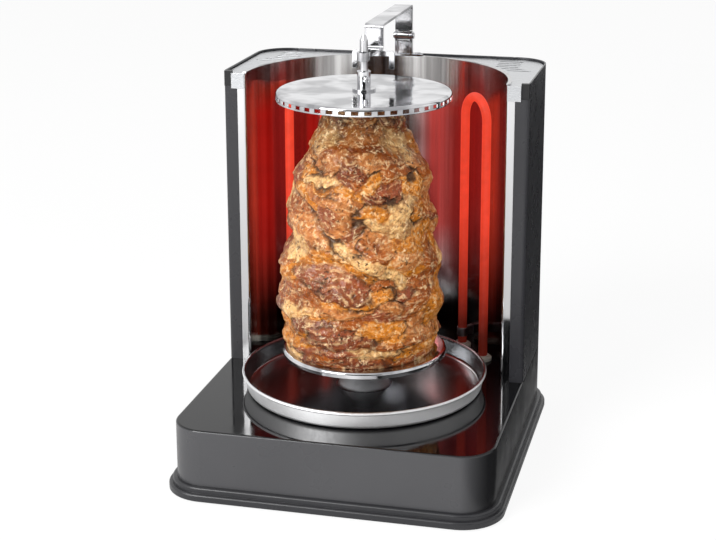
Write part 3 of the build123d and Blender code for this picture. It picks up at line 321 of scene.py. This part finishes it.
def bright_steel():
    """Chromed and polished steel, slightly wavy, with hairline scratches and painted reflection patches."""
    shader = Shader("bright_steel", Metallic=1.0)
    hairs = shader.noise(0.0012, detail=5.0, stretch=(1.0, 0.15, 1.0), distortion=0.6)
    # Painted reflection: pale and dark patches in the colour.
    patches = shader.span(shader.noise(0.035, detail=2.0, distortion=0.4), 0.38, 0.60)
    shader.feed("Base Color", shader.mix(patches, colour(160, 160, 163), colour(222, 222, 224)))
    shader.vary_roughness(hairs, 0.04, 0.14)
    waves = shader.bump(shader.noise(0.030, detail=1.0), 0.00035)
    shader.feed("Normal", shader.bump(hairs, 0.000008, under=waves))
    return shader.material


OUTER_FACING = (0.2, 0.7)   # facing away from the tray's axis: where the satin and the painted paler colour begin, where they are full
OUTER_ROUGHNESS = 0.27      # how much rougher the outer wall is than the inside
OUTER_LEAN = 0.31           # how far the outer wall's shading leans up, to take more light from above


def tray_steel():
    """Pressed stainless sheet: satin on the outer wall and bead, with painted light making the outer wall
    paler; polished with shallow waves inside.
    """
    shader = Shader("tray_steel", Metallic=1.0)
    low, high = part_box("drip_tray")
    axis = shader.add("ShaderNodeCombineXYZ", {0: (low.x + high.x) / 2, 1: (low.y + high.y) / 2}).outputs[0]
    level = shader.vector("MULTIPLY", shader.vector("SUBTRACT", shader.place(), axis), (1, 1, 0))
    outer = shader.span(shader.facing(shader.vector("NORMALIZE", level)), *OUTER_FACING)
    hairs = shader.noise(0.0025, detail=5.0, stretch=(1.0, 1.0, 0.4), distortion=0.8)
    polished = shader.mix(shader.noise(0.05), colour(136, 137, 139), colour(168, 169, 171))
    # Painted light: the outer wall is painted paler than the polished inside.
    shader.feed("Base Color", shader.mix(outer, polished, colour(232, 232, 233)))
    smooth = shader.spread(hairs, 0.15, 0.26)
    shader.feed("Roughness", shader.math("ADD", smooth, shader.math("MULTIPLY", outer, OUTER_ROUGHNESS)))
    waves = shader.bump(shader.noise(0.045, detail=1.0), 0.0003)
    brushed = shader.bump(hairs, 0.00001, under=waves)
    lean = shader.add("ShaderNodeCombineXYZ", {2: shader.math("MULTIPLY", outer, OUTER_LEAN)}).outputs[0]
    shader.feed("Normal", shader.vector("NORMALIZE", shader.vector("ADD", brushed, lean)))
    return shader.material


RED_HEAT = (0.095, 0.215)   # metres above the floor: where the heaters' glow begins, where it is full


def heater_glow():
    """Sheathed element at red heat, duller where its cold ends begin."""
    shader = Shader("heater_glow", Roughness=0.45, Specular_IOR_Level=0.2)
    shader.feed("Base Color", shader.mix(shader.noise(0.004), colour(96, 30, 22), colour(128, 52, 38)))
    heat = shader.span(shader.along("Z"), *RED_HEAT, 0.05, 1.0)
    glow = shader.math("MULTIPLY", heat, shader.spread(shader.noise(0.012), 0.82, 1.0))
    shader.feed("Emission Color", shader.mix(glow, colour(20, 4, 3), colour(236, 66, 44)))
    shader.surface.inputs["Emission Strength"].default_value = 1.0
    shader.feed("Normal", shader.bump(shader.noise(0.0012), 0.00004))
    return shader.material


def ceramic():
    """Off-white unglazed ceramic."""
    shader = Shader("ceramic", Specular_IOR_Level=0.35)
    shader.feed("Base Color", shader.mix(shader.noise(0.006), colour(222, 216, 202), colour(238, 234, 224)))
    shader.vary_roughness(shader.noise(0.003), 0.55, 0.75)
    shader.feed("Normal", shader.bump(shader.noise(0.0008), 0.00005))
    return shader.material


def bush_bronze():
    """Sintered bronze, with a fine even grain."""
    shader = Shader("bush_bronze", Metallic=1.0)
    shader.feed("Base Color", shader.mix(shader.noise(0.002), colour(176, 138, 84), colour(206, 168, 108)))
    shader.vary_roughness(shader.noise(0.001), 0.35, 0.55)
    shader.feed("Normal", shader.bump(shader.noise(0.0005), 0.00003))
    return shader.material


def wire_cover():
    """Pale grey heat-proof sleeve."""
    shader = Shader("wire_cover")
    shader.feed("Base Color", shader.mix(shader.noise(0.01), colour(186, 184, 180), colour(206, 204, 199)))
    shader.vary_roughness(shader.noise(0.002), 0.45, 0.6)
    shader.feed("Normal", shader.bump(shader.noise(0.0009), 0.00004))
    return shader.material


def roast_meat():
    """Roasted slices: each slice's tone, fat, brown patches, painted shade in the hollows and a wet gloss.
    """
    shader = Shader(
        "roast_meat", Subsurface_Weight=0.05, Subsurface_Scale=0.002, Specular_IOR_Level=0.30,
        Specular_Tint=(1.0, 0.80, 0.55, 1.0), Coat_Weight=0.22, Coat_Roughness=0.12,
    )
    base = shader.add("ShaderNodeAttribute", attribute_name="tone").outputs["Color"]
    depth = shader.add("ShaderNodeAttribute", attribute_name="hollow_shade").outputs["Fac"]
    fibre = shader.add("ShaderNodeAttribute", attribute_name="fibre").outputs["Fac"]
    browning = shader.noise(0.016, detail=5.0, roughness=0.65, distortion=0.6)
    mottle = shader.noise(0.0050, detail=5.0, roughness=0.70, distortion=0.5)
    specks = shader.noise(0.0030, detail=2.0, roughness=0.6)
    strewn = shader.span(shader.noise(0.030, detail=2.0), 0.44, 0.62, 0.15, 1.0)
    # Each layer: what carries it, where it begins, where it is full, how much it covers, its colour.
    pale_fibres = (fibre, 0.05, 0.75, 0.55, (230, 190, 138))
    dark_fibres = (fibre, -0.05, -0.75, 0.55, (118, 58, 24))
    golden_patches = (mottle, 0.50, 0.68, 0.62, (146, 78, 26))
    brown_patches = (browning, 0.50, 0.66, 0.66, (92, 40, 14))
    fat = (mottle, 0.45, 0.34, 0.62, (250, 220, 172))
    for source, begins, full, share, shade in (pale_fibres, dark_fibres, golden_patches, brown_patches, fat):
        base = shader.mix(shader.span(source, begins, full, 0.0, share), base, colour(*shade))
    dots = shader.math("MULTIPLY", shader.span(specks, 0.59, 0.65, 0.0, 0.92), strewn)
    base = shader.mix(dots, base, colour(34, 17, 8))
    # Painted shade: the hollows between the slices are darkened.
    base = shader.mix(shader.span(depth, 0.10, 1.00, 0.0, 0.92), base, colour(44, 18, 7))
    shader.feed("Base Color", base)
    shader.vary_roughness(shader.noise(0.004, detail=3.0), 0.24, 0.50)
    coarse = shader.bump(shader.noise(0.0045, detail=4.0, roughness=0.6, distortion=0.6), 0.0011)
    shader.feed("Normal", shader.bump(shader.noise(0.0013, detail=4.0, roughness=0.6), 0.0004, under=coarse))
    return shader.material


FINISHES = {
    "pan_plastic": pan_plastic, "foot_rubber": foot_rubber, "base_enamel": base_enamel,
    "side_enamel": side_enamel, "black_plastic": black_plastic, "zinc_steel": zinc_steel,
    "mirror_steel": mirror_steel, "plate_steel": plate_steel, "heater_glow": heater_glow,
    "ceramic": ceramic, "bright_steel": bright_steel, "tray_steel": tray_steel,
    "bush_bronze": bush_bronze, "wire_cover": wire_cover, "roast_meat": roast_meat,
}


def dress_nodes(finishes):
    """Gives every carried-over node the finish of its slot in the record."""
    for subpart in frame["record"]["subparts"]:
        mesh = nodes[subpart["node"]].data
        mesh.materials.clear()
        mesh.materials.append(finishes[subpart["material_slot"]])


# ---------------------------------------------------------------- meat
MEAT_ROUND_STEPS = 540
MEAT_HEIGHT_STEPS = 350
MEAT_CAP_RINGS = 5
MEAT_SEED = 7
SLICE_LEAN = 0.9        # how far a slice's lower edge stands over the one below, in mm
SLICE_SOFTNESS = 0.45   # how softly two slices' tones run into each other, in mm of height
SLICE_SHARE = 0.58      # how much of a slice's thickness shows as relief
SLICE_REST = 2.6        # the mean thickness, which the stack's outline already holds, in mm
NO_SLICE = -3.0         # the thickness where no slice lies, in mm
THINNEST = -1.6         # the thickness under which the surface doesn't sink, in mm
TONE_CUT = 6.0          # a slice this much further in, in mm, adds no tone
TOP_ROAST_AND_SHADE_LEVELS = [0.72, 0.90]   # up the stack: where the top's darker roast and painted shade under the press disc begin, where they are full
TOP_ROAST_AND_SHADE_TONES = [1.0, 0.36]     # the share of the tone that is left there

# How the slices' outlines bend along and across them: size in mm, grain in mm, shift of the noise.
BEND_ALONG = [(8.0, 42.0, 3.0), (1.6, 7.0, 5.0)]
BEND_OVER = [(6.0, 34.0, 9.0), (1.5, 6.0, 8.0)]
FIBRE_LENGTH = 12.0
FIBRE_WIDTH = 2.4
FIBRE_STEP = 3.7        # sets each slice's fibres apart from the next one's

# Relief over the slices, in mm.
CREASE_DEPTH = 1.7
RIDGE_HEIGHT = 0.7
FIBRE_HEIGHT = 0.34
PIT_DEPTH = 0.8
CAP_SINK = 0.8

# The loose slices all round: how many, and their ranges in degrees and mm.
LOOSE_SLICES = 170
GOLDEN_SHARE = 0.618034
LOOSE_JITTER = (-9, 9)
LOOSE_HALF_WIDTH = (14, 34)
LOOSE_HALF_HEIGHT = (5, 10)
LOOSE_TILT = (-22, 22)
LOOSE_BULGE_BEHIND = (3.4, 5.0)
LOOSE_BULGE_IN_FRONT = (2.4, 3.6)
BEHIND_FROM = 80        # degrees from the camera's side

CREAM = (222, 176, 114)
PEACH = (186, 116, 60)
ROSE = (132, 60, 36)
GOLD = (192, 114, 20)
AMBER = (148, 72, 14)
RUST = (100, 36, 15)
UMBER = (56, 26, 10)

# Level up the stack, then its reach to the left and to the right of the spit in mm.
MEAT_OUTLINE = [
    (0.00, 75, 66), (0.06, 80, 72), (0.22, 81, 73), (0.33, 79, 72), (0.45, 71, 70), (0.57, 71, 65),
    (0.66, 68, 63), (0.75, 58, 57), (0.81, 55, 46), (0.87, 42, 36), (1.00, 35, 34),
]
FOLD_DEPTH = 2.6
FOLD_COUNT = 6.0
LOBE_DEPTH = 1.5

# Slices that show at the front: azimuth from the camera's side in degrees (right is positive),
# height in mm above the lower disc, half width and half height in mm, tilt in degrees, bulge, tone.
FRONT_SLICES = [
    (-36, 234, 14, 12, 0, 3.0, UMBER), (0, 231, 13, 10, 4, 3.6, ROSE), (38, 238, 16, 11, -4, 3.2, AMBER),
    (-51, 214, 15, 20, 8, 4.4, CREAM), (-58, 198, 12, 9, 0, 4.0, GOLD), (5, 214, 25, 5, 2, 3.8, PEACH),
    (2, 204, 24, 6, -4, 3.0, RUST), (46, 210, 21, 17, -14, 4.8, CREAM), (-10, 187, 17, 15, -4, 4.6, RUST),
    (-8, 180, 8, 8, 0, 4.4, AMBER), (26, 186, 9, 10, 10, 3.6, AMBER), (25, 170, 14, 9, -6, 4.0, ROSE),
    (-42, 189, 20, 6, -4, 4.2, PEACH), (-42, 176, 22, 7, 4, 4.8, CREAM), (52, 168, 20, 14, -10, 4.6, GOLD),
    (-26, 156, 34, 7, -16, 5.2, PEACH), (-30, 143, 18, 9, -8, 4.2, ROSE), (-6, 133, 15, 9, -6, 4.0, RUST),
    (20, 136, 28, 9, -10, 5.2, CREAM), (52, 148, 14, 10, 6, 4.4, GOLD), (-62, 112, 20, 13, 10, 4.6, CREAM),
    (-34, 112, 12, 9, 0, 4.2, GOLD), (4, 102, 44, 8, -26, 5.6, CREAM), (9, 114, 20, 8, -24, 4.8, AMBER),
    (3, 98, 17, 7, -20, 4.4, GOLD), (60, 96, 14, 34, -4, 4.8, AMBER), (66, 60, 16, 34, 4, 4.6, GOLD),
    (44, 74, 14, 26, -6, 4.2, AMBER), (-36, 91, 28, 10, -4, 4.2, ROSE), (-12, 73, 32, 7, -6, 4.6, RUST),
    (-18, 58, 34, 7, 2, 5.0, PEACH), (14, 40, 24, 9, 4, 4.8, GOLD), (-58, 62, 24, 12, 6, 4.2, AMBER),
    (24, 58, 18, 8, -14, 4.2, PEACH), (-62, 24, 18, 12, 6, 5.0, GOLD), (-24, 38, 30, 6, 0, 4.0, ROSE),
    (-20, 24, 50, 5, 1, 4.0, RUST), (30, 24, 44, 5, -1, 4.0, AMBER), (-30, 13, 54, 4, 0, 4.0, ROSE),
    (36, 13, 50, 4, 0, 4.2, GOLD), (-8, 4, 60, 4, 0, 3.8, RUST), (58, 4, 40, 4, 0, 3.8, AMBER),
]


class Grain:
    """Gradient noise on many points at once, the same in each run."""

    def __init__(self, seed):
        chance = np.random.RandomState(seed)
        self.order = chance.permutation(256)
        arrows = chance.normal(size=(256, 3))
        self.arrows = arrows / np.linalg.norm(arrows, axis=1, keepdims=True)

    def once(self, points):
        cell = np.floor(points).astype(int)
        part = points - cell
        ease = part ** 3 * (part * (part * 6 - 15) + 10)
        total = np.zeros(len(points))
        for corner in product((0, 1), repeat=3):
            at = (cell + corner) & 255
            pick = self.order[(self.order[(self.order[at[:, 0]] + at[:, 1]) & 255] + at[:, 2]) & 255]
            weight = np.prod(np.where(corner, ease, 1 - ease), axis=1)
            total += weight * np.einsum("ij,ij->i", self.arrows[pick], part - corner)
        return 1.7 * total

    def fractal(self, points, grain, octaves=4, share=0.5, shift=0.0):
        """Octaves of noise whose largest features are about grain millimetres across."""
        total = np.zeros(len(points))
        for octave in range(octaves):
            total += share ** octave * self.once(points * (2.03 ** octave / grain) + shift + 11.7 * octave)
        return total


def meat_reach(turn, level):
    """Reach of the stack: its outline, the slices that fold round it and wide lobes."""
    levels, lefts, rights = np.array(MEAT_OUTLINE).T
    left, right = np.interp(level, levels, lefts), np.interp(level, levels, rights)
    fade = np.minimum(1.0, 12 * np.minimum(level, 1 - level))
    folds = FOLD_DEPTH * np.sin(2 * pi * FOLD_COUNT * level + 2 * turn + 0.5 * np.sin(3 * turn))
    lobes = LOBE_DEPTH * (np.sin(3 * turn + 9 * level) + 0.7 * np.sin(5 * turn - 14 * level))
    return (left + right) / 2 + (right - left) / 2 * np.cos(turn) + fade * (folds + lobes)


def meat_slices(height):
    """Small slices all round, and the large ones that show in front."""
    chance = Random(MEAT_SEED)
    towards_camera = -90.0 + np.degrees(CAMERA_YAW)
    tones = [CREAM, PEACH, ROSE, GOLD, AMBER, RUST, PEACH, GOLD, GOLD, AMBER]
    slices = []
    for step in range(LOOSE_SLICES):
        level = (step + chance.random()) / LOOSE_SLICES
        angle = 360.0 * ((step * GOLDEN_SHARE) % 1.0) + chance.uniform(*LOOSE_JITTER)
        wide, high = chance.uniform(*LOOSE_HALF_WIDTH), chance.uniform(*LOOSE_HALF_HEIGHT)
        behind = abs((angle - towards_camera + 180) % 360 - 180) > BEHIND_FROM
        bulge = chance.uniform(*(LOOSE_BULGE_BEHIND if behind else LOOSE_BULGE_IN_FRONT))
        tilt, tone = chance.uniform(*LOOSE_TILT), chance.choice(tones)
        slices.append((angle, height * level, wide, high, tilt, bulge, tone))
    return slices + [(towards_camera + angle, *rest) for angle, *rest in FRONT_SLICES]


def press_slices(grain, turn, level, reach, height):
    """Thickness, tone, fibres and hollows of the slices where they show at the stack's surface."""
    around = np.column_stack([reach * np.cos(turn), reach * np.sin(turn), level * height])
    bend_along, bend_over = [
        sum(size * grain.fractal(around, across, 3, shift=shift) for size, across, shift in bends)
        for bends in (BEND_ALONG, BEND_OVER)
    ]
    best, second = np.full(turn.shape, NO_SLICE), np.full(turn.shape, 3 * NO_SLICE)
    weight, tone = np.ones(turn.shape), np.tile(colour(*AMBER)[:3], (turn.size, 1))
    lengthwise = np.zeros((turn.size, 3))
    for number, (azimuth, mid, wide, tall, tilt, bulge, shade) in enumerate(meat_slices(height)):
        across = ((turn - radians(azimuth) + pi) % (2 * pi) - pi) * reach + bend_along
        up = level * height - mid + bend_over
        slant = radians(tilt)
        along = across * cos(slant) + up * sin(slant)
        over = up * cos(slant) - across * sin(slant)
        rim = np.abs(along / wide) ** 2.4 + np.abs(over / tall) ** 2.0
        thick = bulge * (1.0 - rim) - SLICE_LEAN * np.clip(over / tall, -1.2, 1.2)
        higher = np.maximum(best, thick)
        fading = np.exp((best - higher) / SLICE_SOFTNESS)
        adding = np.where(thick > best - TONE_CUT, np.exp((thick - higher) / SLICE_SOFTNESS), 0.0)
        tone = tone * fading[:, None] + adding[:, None] * np.array(colour(*shade)[:3])
        weight = weight * fading + adding
        wins = thick > best
        second = np.where(wins, best, np.maximum(second, thick))
        apart = np.full(turn.shape, FIBRE_STEP * number)
        lengthwise[wins] = np.column_stack([along / FIBRE_LENGTH, over / FIBRE_WIDTH, apart])[wins]
        best = higher
    fibres = grain.fractal(lengthwise, 1.0, 3, share=0.6)
    depth = np.clip(0.10 + 1.5 * grain.fractal(around, 24.0, 2, shift=21.0), 0.0, 1.3)
    crease = np.clip(1.0 - (best - second) / (1.0 + 1.6 * depth), 0.0, 1.0) ** 1.5 * depth
    # Darker at the top: partly roast, partly painted shade under the press disc.
    roast_and_shade = np.interp(level, TOP_ROAST_AND_SHADE_LEVELS, TOP_ROAST_AND_SHADE_TONES)
    return around, np.maximum(best, THINNEST), tone * (roast_and_shade / weight)[:, None], fibres, crease


def swell_slices(grain, around, thick, fibres, crease):
    """How far the surface stands over the stack's outline, in mm, and how deep its hollows are, 0 to 1,
    which the shader paints as shade.
    """
    lumps = grain.fractal(around, 15.0, 4, share=0.55, shift=17.0)
    ridges = 0.5 - np.abs(grain.fractal(around * [1, 1, 1.4], 8.0, 3, share=0.55, shift=27.0))
    pits = np.clip(grain.fractal(around, 3.6, 3, share=0.6, shift=33.0) - 0.25, 0.0, 1.0)
    swell = SLICE_SHARE * (thick - SLICE_REST) - CREASE_DEPTH * crease + lumps + RIDGE_HEIGHT * ridges
    swell += FIBRE_HEIGHT * fibres - PIT_DEPTH * pits
    # The hollows' depth, which the meat's shader paints as shade.
    hollow_shade = crease + 0.5 * np.clip(-0.5 - thick, 0.0, 1.0) + 0.9 * pits - 0.25 * lumps
    return swell, np.clip(hollow_shade, 0.0, 1.0)


def close_end(sign, turns, reach, z, axis_y, bore):
    """Rings that close one end of the stack, from its rim in to the rod."""
    for ring in range(1, MEAT_CAP_RINGS + 1):
        share = ring / MEAT_CAP_RINGS
        radius = reach * (1 - share) + bore * share
        sink = CAP_SINK * sin(pi * min(share * 1.6, 1.0))
        yield np.column_stack([radius * np.cos(turns), axis_y + radius * np.sin(turns), z - sign * sink])


def ring_faces():
    """Faces from ring to ring: out from the foot's bore, up the wall, in to the top's bore and down it."""
    count = MEAT_ROUND_STEPS
    rows = [range(row * count, (row + 1) * count) for row in range(MEAT_HEIGHT_STEPS + 2 * MEAT_CAP_RINGS)]
    wall, caps = rows[:MEAT_HEIGHT_STEPS], rows[MEAT_HEIGHT_STEPS:]
    foot_cap, top_cap = caps[:MEAT_CAP_RINGS], caps[MEAT_CAP_RINGS:]
    order = foot_cap[::-1] + wall + top_cap
    return [
        (lower[step], lower[(step + 1) % count], upper[(step + 1) % count], upper[step])
        for lower, upper in zip(order, order[1:] + order[:1])
        for step in range(count)
    ]


def make_meat():
    """The stack of sliced meat: slices that lie over each other, with hollows between them."""
    low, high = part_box("meat_stack")
    rod_low, rod_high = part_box("skewer")
    foot, height = low.z / MM, (high.z - low.z) / MM
    axis_y = (rod_low.y + rod_high.y) / 2 / MM
    bore = rod_high.x / MM + 0.1
    grain = Grain(MEAT_SEED)
    turns = np.linspace(0.0, 2 * pi, MEAT_ROUND_STEPS, endpoint=False)
    turn, level = [grid.ravel() for grid in np.meshgrid(turns, np.linspace(0.0, 1.0, MEAT_HEIGHT_STEPS))]
    reach = meat_reach(turn, level)
    around, thick, tone, fibres, crease = press_slices(grain, turn, level, reach, height)
    swell, hollow_shade = swell_slices(grain, around, thick, fibres, crease)
    edge = np.minimum(level, 1.0 - level) * height
    reach = reach + swell * np.clip(edge / 6.0, 0.25, 1.0)
    droop = np.clip(edge / 10.0, 0.0, 1.0) * (0.9 * grain.fractal(around, 22.0, 3, shift=41.0) - 0.4 * thick)
    lift = np.where(edge < 0.5, level * height, np.clip(level * height + droop, 0.2, height - 0.2))
    x, y, z = reach * np.cos(turn), axis_y + reach * np.sin(turn), foot + lift

    rings = [np.column_stack([x, y, z])]
    looks = [np.column_stack([tone, hollow_shade, fibres])]
    for end, sign in ((0, -1), (MEAT_HEIGHT_STEPS - 1, 1)):
        ends = slice(end * MEAT_ROUND_STEPS, (end + 1) * MEAT_ROUND_STEPS)
        rings += close_end(sign, turns, reach[ends], z[ends], axis_y, bore)
        looks += [looks[0][ends]] * MEAT_CAP_RINGS
    mesh = bpy.data.meshes.new("meat_slices")
    mesh.from_pydata((np.vstack(rings) * MM).tolist(), [], ring_faces())
    looks = np.vstack(looks).astype(np.float32)
    tones = np.column_stack([looks[:, :3], np.ones(len(looks), np.float32)])
    mesh.color_attributes.new("tone", "FLOAT_COLOR", "POINT").data.foreach_set("color", tones.ravel())
    for name, column in (("hollow_shade", 3), ("fibre", 4)):
        values = np.ascontiguousarray(looks[:, column])
        mesh.attributes.new(name, "FLOAT", "POINT").data.foreach_set("value", values)
    mesh.shade_smooth()
    mesh.materials.append(finishes["roast_meat"])
    meat = bpy.data.objects.new("meat_slices", mesh)
    scene.collection.objects.link(meat)
    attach(meat, "spit")
    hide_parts("meat_stack")


# ---------------------------------------------------------------- stage and light
FLOOR_REACH = 8.0
FLOOR_WHITE = 1.05      # strength of the floor's own white
FLOOR_SEEN = 0.84       # share of that white in what the camera sees; the rest keeps the shadow
WORLD_FILL = 0.50
LAMP_TARGET = (0.0, 0.0, 0.2)


def lying(low, high, height):
    """Corners of a level board between two opposite corners."""
    (left, front), (right, back) = low, high
    return [(left, front, height), (right, front, height), (right, back, height), (left, back, height)]


def standing(start, end, height):
    """Corners of an upright board that stands on the floor from start to end."""
    return [(*start, 0.0), (*end, 0.0), (*end, height), (*start, height)]


def make_board(name, corners, material):
    """A flat four-cornered piece of the stage."""
    mesh = bpy.data.meshes.new(name)
    mesh.from_pydata(corners, [], [(0, 1, 2, 3)])
    mesh.materials.append(material)
    board = bpy.data.objects.new(name, mesh)
    scene.collection.objects.link(board)
    return board


def floor_material():
    """White table: the camera sees it nearly white, and it keeps the grill's soft shadow."""
    shader = Shader("floor", Base_Color=(0.86, 0.86, 0.86, 1.0), Roughness=0.9, Specular_IOR_Level=0.1)
    white = shader.add("ShaderNodeEmission", {"Strength": FLOOR_WHITE}).outputs[0]
    seen = shader.math("MULTIPLY", shader.add("ShaderNodeLightPath").outputs["Is Camera Ray"], FLOOR_SEEN)
    blend = shader.add("ShaderNodeMixShader", {0: seen, 1: shader.surface.outputs[0], 2: white})
    shader.tree.links.new(blend.outputs[0], shader.tree.nodes["Material Output"].inputs["Surface"])
    return shader.material


def make_dark_card(name, corners, shade):
    """A dark board that only shows in reflections, as studios use beside bright metal."""
    matt = Shader(name, Base_Color=(shade, shade, shade, 1.0), Roughness=1.0, Specular_IOR_Level=0.0)
    card = make_board(name, corners, matt.material)
    card.visible_camera = False
    card.visible_diffuse = False
    card.visible_transmission = False
    card.visible_shadow = False


def make_lamp(name, place, size, power, mirrored=True):
    """A square soft lamp; a lamp that isn't mirrored lights the grill without showing in bright metal."""
    data = bpy.data.lights.new(name, "AREA")
    data.shape = "SQUARE"
    data.size = size
    data.energy = power
    lamp = bpy.data.objects.new(name, data)
    lamp.visible_glossy = mirrored
    lamp.location = place
    lamp.rotation_euler = (Vector(LAMP_TARGET) - Vector(place)).to_track_quat("-Z", "Y").to_euler()
    scene.collection.objects.link(lamp)


def make_world():
    """White where it is seen or mirrored, and a softer fill light elsewhere."""
    world = bpy.data.worlds.new("studio")
    world.use_nodes = True
    scene.world = world
    tree = world.node_tree
    back = tree.nodes["Background"]
    back.inputs["Color"].default_value = (1.0, 1.0, 1.0, 1.0)
    rays = add_node(tree, "ShaderNodeLightPath").outputs
    seen = rays["Is Camera Ray"]
    for kind in ("Is Glossy Ray", "Is Transmission Ray"):
        seen = add_node(tree, "ShaderNodeMath", {0: seen, 1: rays[kind]}, operation="MAXIMUM").outputs[0]
    strength = add_node(tree, "ShaderNodeMapRange", {0: seen, 3: WORLD_FILL, 4: 1.0}).outputs[0]
    tree.links.new(strength, back.inputs["Strength"])


scene.view_settings.view_transform = "Standard"
make_camera()
make_world()
make_board("floor", lying((-FLOOR_REACH, -FLOOR_REACH), (FLOOR_REACH, FLOOR_REACH), 0.0), floor_material())
make_lamp("key_lamp", (-1.3, -2.1, 1.5), size=1.4, power=84.0)
make_lamp("fill_lamp", (1.7, -1.7, 1.0), size=0.8, power=22.0, mirrored=False)
make_dark_card("card_right", standing((0.5, 0.3), (2.2, 1.2), 1.6), 0.02)
make_dark_card("card_side", lying((0.17, -0.5), (1.3, 2.2), 0.001), 0.02)
make_dark_card("card_front", standing((-2.5, -3.2), (2.5, -3.2), 2.2), 0.03)

finishes = {name: make() for name, make in FINISHES.items()}
dress_nodes(finishes)
make_meat()
